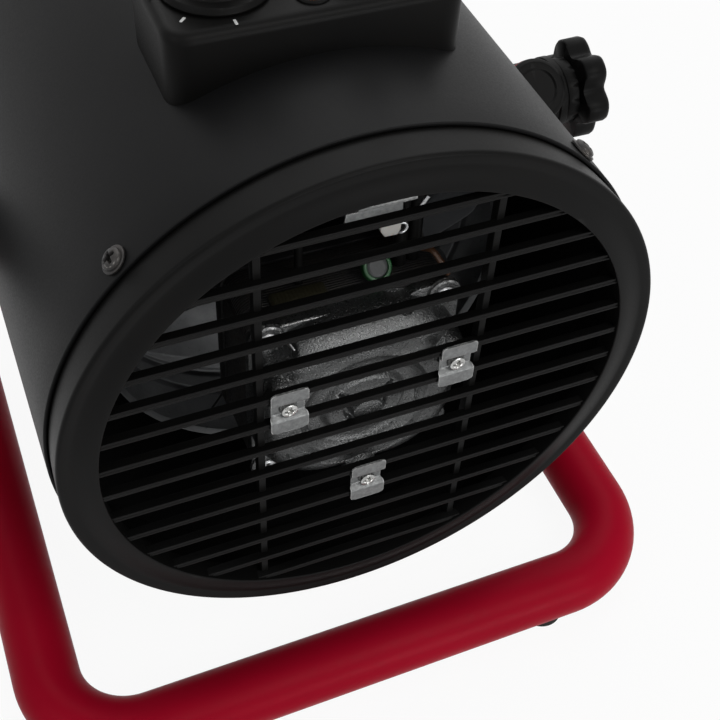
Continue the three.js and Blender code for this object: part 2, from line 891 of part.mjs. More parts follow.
function motorRearBell() {
  const body = forward(roundedSquare(motorHalf, bellCorner), shoulderFace, bellFront + bellBevel, bellBevel);
  const flange = forward(roundedSquare(motorHalf, flangeCorner), flangeFace, bellFront);
  const plateau = rod(plateauRadius, yAt(shoulderFace + bellBevel), yAt(plateauFace), mediumSegments);
  const boss = rod(bossRadius, yAt(shoulderFace), yAt(bossFace));
  const groove = ring([
    [grooveInner, yAt(plateauFace + grooveDepth)],
    [grooveOuter, yAt(plateauFace + grooveDepth)],
    [grooveOuter + grooveDraft, yAt(plateauFace) + overrun],
    [grooveInner - grooveDraft, yAt(plateauFace) + overrun],
  ], mediumSegments);
  const bossTop = yAt(slatStart + clipStep + clipSheet / 2 + seatGap);
  const feet = clipPlaces().flatMap(([x, z]) => [
    rod(clipPadRadius(), yAt(bellFront), yAt(slatStart + slatDepth + seatGap)).translate(x, 0, z),
    rod(clipBossRadius, yAt(bellFront), bossTop).translate(x, 0, z),
  ]);
  const holes = clipPlaces().map(([x, z]) => {
    const floor = yAt(slatStart + screwLength + overrun);
    return rod(screwRadius + seatGap, floor, yAt(0), screwSegments).translate(x, 0, z);
  });
  const slots = [45, 135].map((angle) => {
    const low = [-grooveOuter, yAt(plateauFace + grooveDepth / 2), -petalSlotWidth / 2];
    const high = [grooveOuter, yAt(plateauFace) + overrun, petalSlotWidth / 2];
    return block(low, high).rotateY(degrees(angle));
  });
  const past = 2 * motorHalf;
  const open = block([-past, yAt(bellFront + past), -past], [past, yAt(bellFront), past]);
  const shaft = rod(shaftRadius + seatGap, yAt(bellFront) - overrun, yAt(shaftPocketFace));
  const cavity = bellCavity(yAt(bellFront) - overrun, yAt(bellCavityFace));
  const cast = join(cut(join(body, flange, plateau), groove, ...slots), boss, ...feet);
  return cut(cast, open, shaft, cavity, ...holes, ...rivetPlaces().map(rivetHole));
}

// The hollow round the boss that carries the shaft.
function bellCavity(from, to) {
  const [inner, outer] = [bearingBossRadius, bellCavityRadius];
  return ring([[inner, from], [outer, from], [outer, to], [inner, to]], mediumSegments);
}

function rivetPlaces() {
  const place = motorHalf - rivetInset;
  return [[place, place], [-place, place], [-place, -place], [place, -place]];
}

function rivetHole([x, z]) {
  const [front, rear] = [yAt(frontBellStart + frontBellDepth) - overrun, yAt(flangeFace) + overrun];
  return rod(rivetRadius + seatGap, front, rear, screwSegments).translate(x, 0, z);
}

// A rivet with a domed head at the rear flange and a flat one on the front bell.
function rivet([x, z]) {
  const front = yAt(frontBellStart + frontBellDepth + seatGap);
  const rear = yAt(flangeFace - seatGap);
  const shank = rod(rivetRadius, front - rivetHeadHeight / 2, rear + rivetHeadHeight / 2, screwSegments);
  const domed = turned([
    [0, rear],
    [rivetHeadRadius, rear],
    [rivetHeadRadius * rivetTopShare, rear + rivetHeadHeight],
    [0, rear + rivetHeadHeight],
  ], screwSegments);
  const flat = rod(rivetHeadRadius, front - rivetHeadHeight, front, screwSegments);
  return join(shank, domed, flat).translate(x, 0, z);
}

// The lamination stack with the four rivets that hold both bells to it.
function motorStator() {
  const end = statorStart + statorDepth;
  const stack = forward(roundedSquare(motorHalf - statorInset, flangeCorner), statorStart, end);
  const bore = rod(statorBore, yAt(end) - overrun, yAt(statorStart) + overrun, mediumSegments);
  return join(cut(stack, bore), ...rivetPlaces().map(rivet));
}

function motorFrontBell() {
  const end = frontBellStart + frontBellDepth;
  const body = forward(roundedSquare(motorHalf, flangeCorner), frontBellStart - bellBevel, end, bellBevel);
  const past = 2 * motorHalf;
  const open = block([-past, yAt(frontBellStart), -past], [past, yAt(frontBellStart - past), past]);
  const shaft = rod(shaftRadius + seatGap, yAt(end) - overrun, yAt(frontBellStart) + overrun);
  const cavity = bellCavity(yAt(end - bellRim), yAt(frontBellStart) + overrun);
  return cut(body, open, shaft, cavity, ...rivetPlaces().map(rivetHole));
}

// The rotor and the shaft that it is pressed on.
function motorRotor() {
  const [start, end] = [yAt(statorStart), yAt(statorStart + statorDepth)];
  return turned([
    [0, yAt(hubEnd + shaftProud)],
    [shaftRadius, yAt(hubEnd + shaftProud)],
    [shaftRadius, end],
    [statorBore - rotorGap, end],
    [statorBore - rotorGap, start],
    [shaftRadius, start],
    [shaftRadius, yAt(shaftPocketFace + seatGap)],
    [0, yAt(shaftPocketFace + seatGap)],
  ], mediumSegments);
}

function clip() {
  const flange = slatStart - seatGap - clipSheet / 2;
  const recess = flange + clipStep;
  const slope = slatPitch / 2 - clipFoot;
  const end = slatPitch / 2 + clipReach;
  const line = [
    [-flange, end],
    [-flange, slope],
    [-recess, slope - clipSlope],
    [-recess, clipSlope - slope],
    [-flange, -slope],
    [-flange, -end],
  ];
  const strip = acrossX(ribbon(line, clipSheet), clipWidth);
  return cut(strip, rod(screwRadius + seatGap, -recess - overrun, overrun, screwSegments));
}

function clipScrew() {
  const seat = slatStart - seatGap - clipSheet + clipStep - seatGap;
  const screw = panScrew(screwHeadRadius, screwHeadHeight, screwRadius, screwLength);
  return cut(screw, crossRecess(screwHeadRadius, screwHeadHeight)).translate(0, -seat, 0);
}

// Fan

// A twisted blade: a thin block bent into place, wider and flatter towards its tip.
function blade(angle) {
  const geometry = new THREE.BoxGeometry(1, 1, 1, ...bladeSteps);
  const places = geometry.attributes.position;
  const root = hubRadius - overrun;
  const middle = yAt(hubStart + hubLength / 2);
  for (let i = 0; i < places.count; i += 1) {
    const share = places.getX(i) + 0.5;
    const radius = THREE.MathUtils.lerp(root, bladeTip, share);
    const width = THREE.MathUtils.lerp(bladeRootChord, bladeTipChord, share ** bladeWidenShare);
    const chord = width * places.getZ(i);
    const pitch = degrees(THREE.MathUtils.lerp(bladeRootAngle, bladeTipAngle, share));
    const turn = degrees(angle) + (chord * Math.cos(pitch)) / Math.max(radius, hubRadius);
    const y = middle + chord * Math.sin(pitch) + places.getY(i) * bladeSheet;
    places.setXYZ(i, radius * Math.cos(turn), y, radius * Math.sin(turn));
  }
  return geometry;
}

function impeller() {
  const hub = rod(hubRadius, yAt(hubEnd), yAt(hubStart), mediumSegments);
  const blades = Array.from({ length: bladeCount }, (_, i) => {
    return blade(bladeStartAngle + (i * 360) / bladeCount);
  });
  const bore = rod(shaftRadius + seatGap, yAt(hubEnd) - overrun, yAt(hubStart) + overrun);
  return cut(join(hub, ...blades), bore);
}

// Air duct and heating elements, round the fan's axis

function ductTube() {
  const [start, throatEnd] = [ductStart, ductStart + throatLength];
  const cone = throatEnd + coneLength;
  return ring([
    [throatRadius + ductLip, yAt(start)],
    [throatRadius + ductLip + ductSheet, yAt(start)],
    [throatRadius + ductSheet, yAt(start + ductLip)],
    [throatRadius + ductSheet, yAt(throatEnd)],
    [ductRadius + ductSheet, yAt(cone)],
    [ductRadius + ductSheet, yAt(ductEnd)],
    [ductRadius, yAt(ductEnd)],
    [ductRadius, yAt(cone)],
    [throatRadius, yAt(throatEnd)],
    [throatRadius, yAt(start + ductLip)],
  ], ductSegments);
}

// How far the shell's inner face is from the fan's axis, at an angle from +X.
function shellReach(angle) {
  const along = motorDrop * Math.sin(degrees(angle));
  const across = motorDrop * Math.cos(degrees(angle));
  return Math.sqrt(shellInner ** 2 - across ** 2) + along;
}

// A Z bracket, welded to the duct and flat against the shell.
function ductBracket(angle, depth) {
  const inner = ductRadius + ductSheet / 4;
  const reach = shellReach(angle) - seatGap;
  const outer = Math.sqrt(reach ** 2 - (bracketLength / 2) ** 2) - seatGap;
  const sheet = bracketSheet / 2;
  const line = [
    [-bracketFlange, inner + sheet],
    [0, inner + sheet],
    [0, outer - sheet],
    [bracketFlange, outer - sheet],
  ];
  const shape = ribbon(line, bracketSheet);
  const bracket = extruded(shape, bracketLength).translate(0, 0, -bracketLength / 2);
  return bracket.rotateX(-Math.PI / 2).rotateY(degrees(90 - angle) + Math.PI).translate(0, yAt(depth), 0);
}

function airDuct() {
  const brackets = bracketDepths.flatMap((depth) => {
    return bracketAngles.map((angle) => ductBracket(angle, depth));
  });
  return join(ductTube(), ...brackets);
}

// A ring of tube that opens at the top, where both ends bend towards the fan.
function elementStations(radius) {
  const half = Math.asin((elementGapHalf + elementLegBend) / radius);
  const [from, to] = [Math.PI / 2 + half, Math.PI * 2.5 - half];
  const stations = [];
  for (let i = 0; i <= elementSteps; i += 1) {
    const angle = from + ((to - from) * i) / elementSteps;
    const point = new THREE.Vector3(radius * Math.cos(angle), yAt(elementDepth), radius * Math.sin(angle));
    stations.push({ point, direction: new THREE.Vector3(-Math.sin(angle), 0, Math.cos(angle)) });
  }
  const leg = (end, sign) => elementLegShares.map((share) => {
    const angle = (Math.PI / 2) * Math.min(share, 1);
    const reach = share > 1 ? elementLegLength : elementLegBend * (1 - Math.cos(angle));
    const point = end.point.clone()
      .addScaledVector(end.direction, sign * elementLegBend * Math.sin(angle))
      .add(new THREE.Vector3(0, reach, 0));
    const direction = end.direction.clone().multiplyScalar(Math.cos(angle));
    return { point, direction: direction.add(new THREE.Vector3(0, sign * Math.sin(angle), 0)) };
  });
  return [...leg(stations[0], -1).reverse(), ...stations, ...leg(stations.at(-1), 1)];
}

function elementLegs(radius) {
  const stations = elementStations(radius);
  return [stations[0].point, stations.at(-1).point];
}

function heatingElement(radius) {
  const tube = swept(circleOutline(elementTube, elementSides), elementStations(radius));
  const pins = elementLegs(radius).map((end) => {
    return rod(terminalRadius, -elementTube, terminalLength, elementSides).translate(end.x, end.y, end.z);
  });
  return join(tube, ...pins);
}

function legHoles() {
  const radius = holeRound(elementTube, smallSegments);
  return elementRadii.flatMap(elementLegs).map((end) => {
    return rod(radius, -elementLegLength, 0).translate(end.x, end.y, end.z);
  });
}

// The plate that carries the elements' legs, up to the duct's inner face.
function elementPlate() {
  const reach = Math.max(...elementRadii.flatMap(elementLegs).map((end) => Math.abs(end.x)));
  const half = reach + elementTube + elementPlateMargin;
  const lowest = Math.min(...elementRadii.flatMap(elementLegs).map((end) => end.z));
  const low = lowest - elementTube - elementPlateMargin;
  const [front, rear] = [yAt(elementPlateDepth + elementPlateSheet), yAt(elementPlateDepth)];
  const plate = block([-half, front, low], [half, rear, ductRadius + overrun]);
  const bore = rod(ductRadius - seatGap, front - overrun, rear + overrun, ductSegments);
  return cut(common(plate, bore), ...legHoles());
}

// An arm of the spider, with a hole for each ring of tube.
function spiderArm(angle) {
  const outer = ductRadius * Math.cos(Math.PI / ductSegments) - seatGap;
  const half = supportLength / 2;
  const plate = block([0, yAt(elementDepth) - half, -supportSheet / 2],
    [outer, yAt(elementDepth) + half, supportSheet / 2]);
  const reach = supportSheet + overrun;
  const holeRadius = elementTube + 2 * seatGap + supportSheet / 2;
  const holes = elementRadii.map((radius) => {
    return rodZ(holeRadius, -reach, reach, screwSegments).translate(radius, yAt(elementDepth), 0);
  });
  return cut(plate, ...holes).rotateY(-degrees(angle));
}

// Three arms from the middle to the duct: the upper one passes between the elements' ends.
function elementSpider() {
  return join(...spiderAngles.map(spiderArm));
}

function cutoutHeightOnPlate() {
  const heights = elementRadii.flatMap(elementLegs).map((end) => end.z);
  return (Math.min(...heights) + Math.max(...heights)) / 2;
}

// A snap disc switch that lies on the rear of the element plate.
function thermalCutout() {
  const seat = yAt(elementPlateDepth) + seatGap;
  const can = rod(cutoutRadius, seat, seat + cutoutHeight);
  const cap = rod(cutoutRadius * cutoutCapShare, seat, seat + cutoutHeight + overrun);
  const tabs = [1, -1].map((side) => {
    const x = side * cutoutRadius * cutoutTabShare;
    return block([x - cutoutTabSheet / 2, seat + cutoutHeight, -cutoutTab / 2],
      [x + cutoutTabSheet / 2, seat + cutoutHeight + cutoutTab, cutoutTab / 2]);
  });
  return join(can, cap, ...tabs).translate(0, 0, cutoutHeightOnPlate());
}

// Controls

function skinCutter(radius) {
  return rod(radius, yAt(drumDepth), yAt(0), ringSegments);
}

function planRectangle(halfWidth, start, end, radius) {
  return roundedShape([
    [halfWidth, yAt(end), radius],
    [halfWidth, yAt(start), radius],
    [-halfWidth, yAt(start), radius],
    [-halfWidth, yAt(end), radius],
  ]);
}

function controlHousing() {
  const end = housingStart + housingLength;
  const base = Math.sqrt(drumRadius ** 2 - housingHalfWidth ** 2) - overrun - housingBevel;
  const plan = planRectangle(housingHalfWidth, housingStart, end, housingCorner);
  const cover = extruded(plan, housingTop - base, housingBevel).translate(0, 0, base);
  const [insideStart, insideEnd] = [housingStart + housingWall, end - housingWall];
  const insideCorner = housingCorner - housingWall;
  const inside = planRectangle(housingHalfWidth - housingWall, insideStart, insideEnd, insideCorner);
  const hollow = extruded(inside, housingTop - housingWall - base + overrun).translate(0, 0, base - overrun);
  const spindles = controlPlaces().map(([x, y]) => {
    return rodZ(spindleRadius + 2 * seatGap, drumRadius, housingTop + overrun).translate(x, y, 0);
  });
  const lamp = rodZ(lampRadius + seatGap, drumRadius, housingTop + overrun);
  lamp.translate(0, yAt(housingStart + lampSetback), 0);
  return cut(cover, hollow, skinCutter(drumRadius + 2 * seatGap), ...spindles, lamp);
}

// The sheet that the two switches stand on, hung from the shell, with a tongue towards the rear.
function controlBracket() {
  const reach = controlBodyLength / 2 + controlPlateMargin;
  const [rear, front] = [controlDepth - reach, controlDepth + reach];
  const half = controlPlateHalfWidth;
  const top = Math.sqrt((shellInner - 2 * seatGap) ** 2 - half ** 2);
  const low = controlPlateHeight;
  const high = low + controlPlateSheet;
  const plate = block([-half, yAt(front), low], [half, yAt(rear), high]);
  const webs = [1, -1].map((side) => {
    const [left, right] = inOrder(side * (half - controlPlateSheet), side * half);
    return block([left, yAt(front), low], [right, yAt(rear), top]);
  });
  const [tongueRight, tongueLeft] = [-tongueCentre - tongueWidth / 2, -tongueCentre + tongueWidth / 2];
  const tongue = block([tongueRight, yAt(rear + overrun), low], [tongueLeft, yAt(tongueStart), high]);
  return join(plate, ...webs, tongue);
}

// A moulded switch body with a step at its foot and a hole for the spindle.
function controlBody(x) {
  const y = yAt(controlDepth);
  const [half, length] = [controlBodyWidth / 2, controlBodyLength / 2];
  const step = controlBodyHeight * controlFootShare;
  const foot = block([x - half, y - length, controlBodyBase], [x + half, y + length, controlBodyBase + step]);
  const neck = rodZ(half - housingWall / 2, controlBodyBase, controlBodyTop).translate(x, y, 0);
  const floor = controlBodyTop - spindleBite;
  const hole = rodZ(spindleRadius + seatGap, floor, controlBodyTop + overrun).translate(x, y, 0);
  return cut(join(foot, neck), hole);
}

// A knob with a pointer ridge and its own stem, which reaches down into the switch.
function controlKnob(x) {
  const stemEnd = controlBodyTop - spindleBite - housingTop;
  const knob = turned([
    [0, stemEnd],
    [spindleRadius, stemEnd],
    [spindleRadius, 0],
    [knobSkirtRadius, 0],
    [knobSkirtRadius, knobSkirtHeight * knobRimShare],
    [knobRadius, knobSkirtHeight],
    [knobRadius * knobTopShare, knobHeight],
    [0, knobHeight],
  ], mediumSegments);
  const half = knobPointerWidth / 2;
  const pointerTop = knobHeight + knobPointerRise;
  const pointerEnd = knobRadius * knobPointerShare;
  const pointer = block([-half, knobSkirtHeight, -knobRadius], [half, pointerTop, pointerEnd]);
  const whole = join(knob, pointer).rotateX(Math.PI / 2);
  return whole.translate(x, yAt(controlDepth), housingTop + seatGap);
}

function pilotLamp() {
  const low = drumRadius - shellWall * 2;
  const lamp = turned([
    [0, low],
    [lampRadius - seatGap, low],
    [lampRadius - seatGap, housingTop + lampRise * lampRimShare],
    [lampRadius * lampDomeShares[0], housingTop + lampRise * lampDomeShares[1]],
    [0, housingTop + lampRise],
  ]);
  return lamp.rotateX(Math.PI / 2).translate(0, yAt(housingStart + lampSetback), 0);
}

function terminalBlock() {
  const x = -tongueCentre;
  const top = controlPlateHeight - seatGap;
  const half = terminalBlockWidth / 2;
  const start = yAt(tongueStart + overrun);
  const low = top - terminalBlockHeight;
  const base = block([x - half, start - terminalBlockLength, low], [x + half, start, top]);
  const slots = terminalSlotShares.map((share) => {
    const y = start - terminalBlockLength * share;
    return block([x - half - overrun, y - terminalSlotWidth / 2, low - overrun],
      [x + half + overrun, y + terminalSlotWidth / 2, low + terminalBlockHeight * terminalSlotShare]);
  });
  return cut(base, ...slots);
}

// Handle

function handleOutline() {
  const [rear, front] = [yAt(handleStart), yAt(handleEnd)];
  const base = drumRadius - 2 * overrun;
  const under = drumRadius + handleGap;
  return roundedShape([
    [rear, base, 0],
    [rear - handleLean, gripTop, handleCorner],
    [front + handleLean, gripTop, handleCorner],
    [front, base, 0],
    [front + handlePost, base, 0],
    [front + handlePost + handleLean, under, handleCorner * handleInnerCornerShare],
    [rear - handlePost - handleLean, under, handleCorner * handleInnerCornerShare],
    [rear - handlePost, base, 0],
  ]);
}

function carryHandle() {
  const holes = handleScrewDepths().map((depth) => {
    const top = drumRadius + handleScrewLength + overrun;
    return rodZ(handleScrewRadius + seatGap, drumRadius - 4 * overrun, top).translate(0, yAt(depth), 0);
  });
  const arch = acrossX(handleOutline(), handleWidth, handleBevel);
  return cut(arch, skinCutter(drumRadius + 2 * seatGap), ...holes);
}

function handleScrew(depth) {
  const screw = panScrew(handleScrewHeadRadius, handleScrewHeadHeight, handleScrewRadius, handleScrewLength);
  const seat = Math.sqrt(shellInner ** 2 - handleScrewHeadRadius ** 2) - 2 * seatGap;
  return screw.rotateX(-Math.PI / 2).translate(0, yAt(depth), seat);
}

// Cable gland: an open thread, a flange against the shell and a domed nut

function cableGland() {
  const inner = -shellWall - seatGap - glandNutLength;
  const body = ring([
    [glandBore, inner],
    [glandThreadRadius, inner],
    [glandThreadRadius, seatGap * 2],
    [glandRadius, seatGap * 2],
    ...glandNutShares.map(([across, along]) => [glandRadius * across, glandLength * along]),
    [glandBore, glandLength],
  ], smallSegments);
  return radial(body, drumRadius, glandAngle, glandDepth);
}

// Wires, from the motor and the elements up to the terminal block

function wire(corners) {
  return swept(circleOutline(wireSkinRadius, wireSides), bentStations(corners, wireBend, bendSteps));
}

function motorLead() {
  const x = -motorHalf * leadOffsetShare;
  const start = motorHalf - motorDrop + seatGap;
  const depth = bellFront + statorDepth / 2;
  const top = controlPlateHeight - terminalBlockHeight / 2;
  const end = -tongueCentre - terminalBlockWidth / 2 - seatGap - wireSkinRadius / 2;
  return wire([
    [x, yAt(depth), start],
    [x, yAt(depth), top],
    [end, yAt(tongueStart + terminalBlockLength * leadEndShare), top],
  ]);
}

function earthLead() {
  const start = motorHalf - motorDrop + seatGap;
  const x = tongueCentre + terminalBlockWidth / 2;
  const depth = bellFront + statorDepth / 2;
  const top = controlPlateHeight - terminalBlockHeight * earthHeightShare;
  const end = -tongueCentre + terminalBlockWidth / 2 + seatGap + wireSkinRadius / 2;
  return wire([
    [x, yAt(depth), start],
    [x, yAt(depth), top],
    [end, yAt(tongueStart + terminalBlockLength * earthEndShare), top],
  ]);
}

// Assembly

function addDrum(group) {
  addPart(group, 'drum_shell', drumShell(), blackPaint);
  addPart(group, 'rear_grille', rearGrille(), blackPlastic);
  addPart(group, 'front_ring', frontRing(), blackPlastic);
  addPart(group, 'front_guard', frontGuard(), darkSteel);
  screwAngles().forEach((angle, i) => {
    const place = ['upper_left', 'upper_right', 'lower_left', 'lower_right'][i];
    addPart(group, `rear_screw_${place}`, shellScrew(shellScrewDepth, angle), darkSteel);
    addPart(group, `front_screw_${place}`, shellScrew(drumDepth - shellScrewDepth, angle), darkSteel);
  });
  addPart(group, 'carry_handle', carryHandle(), blackPlastic);
  handleScrewDepths().forEach((depth, i) => {
    addPart(group, `handle_screw_${['rear', 'front'][i]}`, handleScrew(depth), steel);
  });
  addPart(group, 'cable_gland', cableGland(), blackPlastic);
  for (const [name, side] of [['left', 1], ['right', -1]]) {
    addPart(group, `pivot_boss_${name}`, pivotBoss(side), blackPlastic);
    addPart(group, `pivot_nut_${name}`, pivotNut(side), steel);
    addPart(group, `clamp_bolt_${name}`, clampBolt(side), steel);
    addPart(group, `clamp_knob_${name}`, clampKnob(side), blackPlastic);
  }
}

function addControls(group) {
  addPart(group, 'control_housing', controlHousing(), blackPlastic);
  addPart(group, 'control_bracket', controlBracket(), zincSheet);
  addPart(group, 'mode_switch', controlBody(controlOffset), blackPlastic);
  addPart(group, 'thermostat', controlBody(-controlOffset), blackPlastic);
  addPart(group, 'mode_knob', controlKnob(controlOffset), blackPlastic);
  addPart(group, 'thermostat_knob', controlKnob(-controlOffset), blackPlastic);
  addPart(group, 'pilot_lamp', pilotLamp(), amberLens);
  addPart(group, 'terminal_block', terminalBlock(), whiteNylon);
  addPart(group, 'motor_lead', motorLead(), brownWire);
  addPart(group, 'earth_lead', earthLead(), greenWire);
}

function addMotor(group) {
  addPart(group, 'motor_rear_bell', motorRearBell(), castAlloy);
  addPart(group, 'motor_stator', motorStator(), darkSteel);
  addPart(group, 'motor_front_bell', motorFrontBell(), darkSteel);
  addPart(group, 'motor_rotor', motorRotor(), steel);
  addPart(group, 'impeller', impeller(), bladeAlloy);
  clipPlaces().forEach(([x, z], i) => {
    const name = ['left', 'right', 'bottom'][i];
    addPart(group, `clip_${name}`, clip().translate(x, yAt(0), z), zincSheet);
    addPart(group, `clip_screw_${name}`, clipScrew().translate(x, yAt(0), z), zincSheet);
  });
}

function addHeating(group) {
  addPart(group, 'air_duct', airDuct(), zincSheet);
  elementRadii.forEach((radius, i) => {
    addPart(group, `heating_element_${i + 1}`, heatingElement(radius), heaterSheath);
  });
  addPart(group, 'element_plate', elementPlate(), zincSheet);
  addPart(group, 'element_spider', elementSpider(), zincSheet);
  addPart(group, 'thermal_cutout', thermalCutout(), steel);
}

const heater = new THREE.Group();
const stand = new THREE.Group();
const drum = new THREE.Group();
const airPath = new THREE.Group();
heater.add(stand, drum);
drum.add(airPath);
drum.position.z = axisHeight;
airPath.position.z = -motorDrop;
addStand(stand);
addDrum(drum);
addControls(drum);
addMotor(airPath);
addHeating(airPath);

// The pivot is not the middle of the outline, so everything moves by the difference.
const rearReach = rearBarReach + tubeRadius;
const frontReach = drumDepth - pivotDepth;
heater.position.y = (frontReach - rearReach) / 2;

export default heater;
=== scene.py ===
# A round fan heater on its tilting tube stand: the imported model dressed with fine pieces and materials.
# Lengths are millimetres in the CAD model's frame until put() turns them into metres. Angles are degrees
# in the tables and radians in the functions. A depth runs forwards from the drum's rear edge.

from math import atan2, cos, hypot, pi, radians, sin, sqrt, tau

import bmesh
import bpy
from mathutils import Matrix, Vector


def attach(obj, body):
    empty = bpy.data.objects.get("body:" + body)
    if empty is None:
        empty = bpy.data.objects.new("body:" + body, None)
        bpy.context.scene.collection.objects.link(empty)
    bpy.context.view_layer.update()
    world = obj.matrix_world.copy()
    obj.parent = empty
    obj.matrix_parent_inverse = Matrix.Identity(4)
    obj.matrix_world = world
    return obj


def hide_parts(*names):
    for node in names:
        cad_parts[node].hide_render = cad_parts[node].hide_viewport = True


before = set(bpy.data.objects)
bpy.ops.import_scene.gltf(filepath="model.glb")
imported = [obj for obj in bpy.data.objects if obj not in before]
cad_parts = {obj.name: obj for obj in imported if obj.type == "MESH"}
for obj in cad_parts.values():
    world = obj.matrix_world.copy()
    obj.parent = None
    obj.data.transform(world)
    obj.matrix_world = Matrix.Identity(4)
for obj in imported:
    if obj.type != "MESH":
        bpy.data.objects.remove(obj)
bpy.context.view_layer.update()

MM = 0.001
# In metres: corners nearer than this are one
MERGE = 1e-6

# Main places and sizes, most of them the CAD model's. Drum and rear opening:
REAR_Y = 112.25
PIVOT_Y = -18.75
DRUM_Z = 146.0
FAN_Z = 142.0
DRUM_RADIUS = 99.3
SHELL_INNER = 98.1
DRUM_DEPTH = 250.0
PARTING = 13.2
OPENING = 86.3
LIP = 2.2
LIP_DEPTH = 7.5
SLAT_PITCH = 12.0
SLAT_COUNT = 14
RIB_X = 36.0
# Stand
TUBE_RADIUS = 12.5
TUBE_X = 118.0
TUBE_Z = 15.0
TUBE_BEND = 32.0
TUBE_FRONT_Y = -136.75
TUBE_REAR_Y = 125.25
TUBE_TOP_REACH = 15.0
PIVOT_RISE = (0, 118, 131)
FOOT_PLACES = {"front": (TUBE_X, -55.86), "rear": (77.0, TUBE_REAR_Y)}
# Motor and its clips
MOTOR_HALF = 35.0
MOTOR_CORNER = 26.0
BELL_FRONT = 21.0
FLANGE_FACE = 17.5
FLANGE_CORNER = 7.0
# Across, up and the reach of the pocket round each bolt of the motor, and of the notch in its upper edge
BOLTS = ((29.0, 31.3, 6.9), (-29.0, 31.5, 5.0), (-30.0, -30.0, 6.9), (30.0, -30.0, 6.9))
NOTCH = (-15.0, 40.5, 7.6)
CLIP_PLACES = {"left": (27.713, 16.0), "right": (-27.713, 16.0), "bottom": (0.0, -32.0)}
CLIP_SHEET = 0.7
CLIP_REACH = 8.9
CLIP_WIDTH = 12.0
# Shell screws, controls
SCREW_ANGLES = {"upper_left": 45.5, "upper_right": 134.5, "lower_left": -45.5, "lower_right": -134.5}
SCREW_DEPTHS = {"rear": 18.5, "front": 231.5}
DIALS = {"mode_dial": ("mode_knob", 24.0), "thermostat_dial": ("thermostat_knob", -24.0)}
DIAL_Y = 41.25
DIAL_SWEEPS = {"mode_dial": (135, 4), "thermostat_dial": (270, 10)}
HOUSING_TOP = 258.0
HOUSING_DEPTH = 71.0
LAMP_DEPTH = 59.0
# Fan, duct and heating elements
BLADES = 5
BLADE_START = -73.0
BLADE_DEPTH = 71.1
BLADE_SHEET = 1.2
BLADE_ROOT = {"radius": 13, "width": 24, "pitch": 44}
BLADE_TIP = {"radius": 68, "width": 50, "pitch": 24}
THROAT = 71.2
THROAT_BEADS = (82.0, 91.5)
DUCT = 80.0
DUCT_SHEET = 0.8
DUCT_END = 232.0
ELEMENT_RADII = (64.0, 44.0)
ELEMENT_TUBE = 3.25
ELEMENT_DEPTH = 160.0
ELEMENT_GAP = 15.0
ELEMENT_BEND = 9.0
# Handle, cable gland, leads
HANDLE_REAR, HANDLE_FRONT = 95.0, 211.0
HANDLE_TOP = 151.0
HANDLE_UNDER = 136.0
GLAND_ANGLE, GLAND_DEPTH = 215, 62.0
LEAD_DEPTH = 32.5
LEAD_FOOT = 177.4


def at(depth):
    """The y of a depth, which is counted forwards from the drum's rear edge."""
    return REAR_Y - depth


# Node trees


def tree_of(name):
    """A new material and its empty node tree."""
    material = bpy.data.materials.new(name)
    material.use_nodes = True
    material.node_tree.nodes.clear()
    return material, material.node_tree


def made(tree, kind, inputs=None, **settings):
    """The outputs of a new node. An input is given a number, a colour or an output of another node."""
    node = tree.nodes.new(kind)
    for key, value in settings.items():
        setattr(node, key, value)
    for key, value in (inputs or {}).items():
        if isinstance(value, bpy.types.NodeSocket):
            tree.links.new(value, node.inputs[key])
        else:
            node.inputs[key].default_value = value
    return node.outputs


def combined(tree, operation, first, second):
    """The result of a math node on an output and another output or a number."""
    return made(tree, "ShaderNodeMath", {0: first, 1: second}, operation=operation)[0]


def noise(tree, place, scale, detail, roughness=0.55):
    """A cloudy value between 0 and 1; a higher scale makes it finer."""
    inputs = {"Scale": scale, "Detail": detail, "Roughness": roughness, "Vector": place}
    return made(tree, "ShaderNodeTexNoise", inputs)["Fac"]


def spread(tree, value, low, high, start=0.3, end=0.7):
    """A value from start to end, spread over low to high."""
    inputs = {"From Min": start, "From Max": end, "To Min": low, "To Max": high, "Value": value}
    return made(tree, "ShaderNodeMapRange", inputs)["Result"]


def mixed(tree, share, first, second):
    """Two colours, or colour outputs, mixed by a share. A mix node has its colours in sockets 6 and 7."""
    first, second = ((*colour, 1) if isinstance(colour, tuple) else colour for colour in (first, second))
    return made(tree, "ShaderNodeMix", {0: share, 6: first, 7: second}, data_type="RGBA")[2]


def bumps(tree, layers):
    """The normal after a stack of bump layers of (height, strength, distance in mm)."""
    inputs = {}
    for height, strength, distance in layers:
        inputs |= {"Strength": strength, "Distance": distance * MM, "Height": height}
        inputs["Normal"] = made(tree, "ShaderNodeBump", inputs)["Normal"]
    return inputs["Normal"]


# Over how much of their noise or edge value specks and wear fade in
SPECK_FADE = 0.06
WEAR_FADE = 0.05


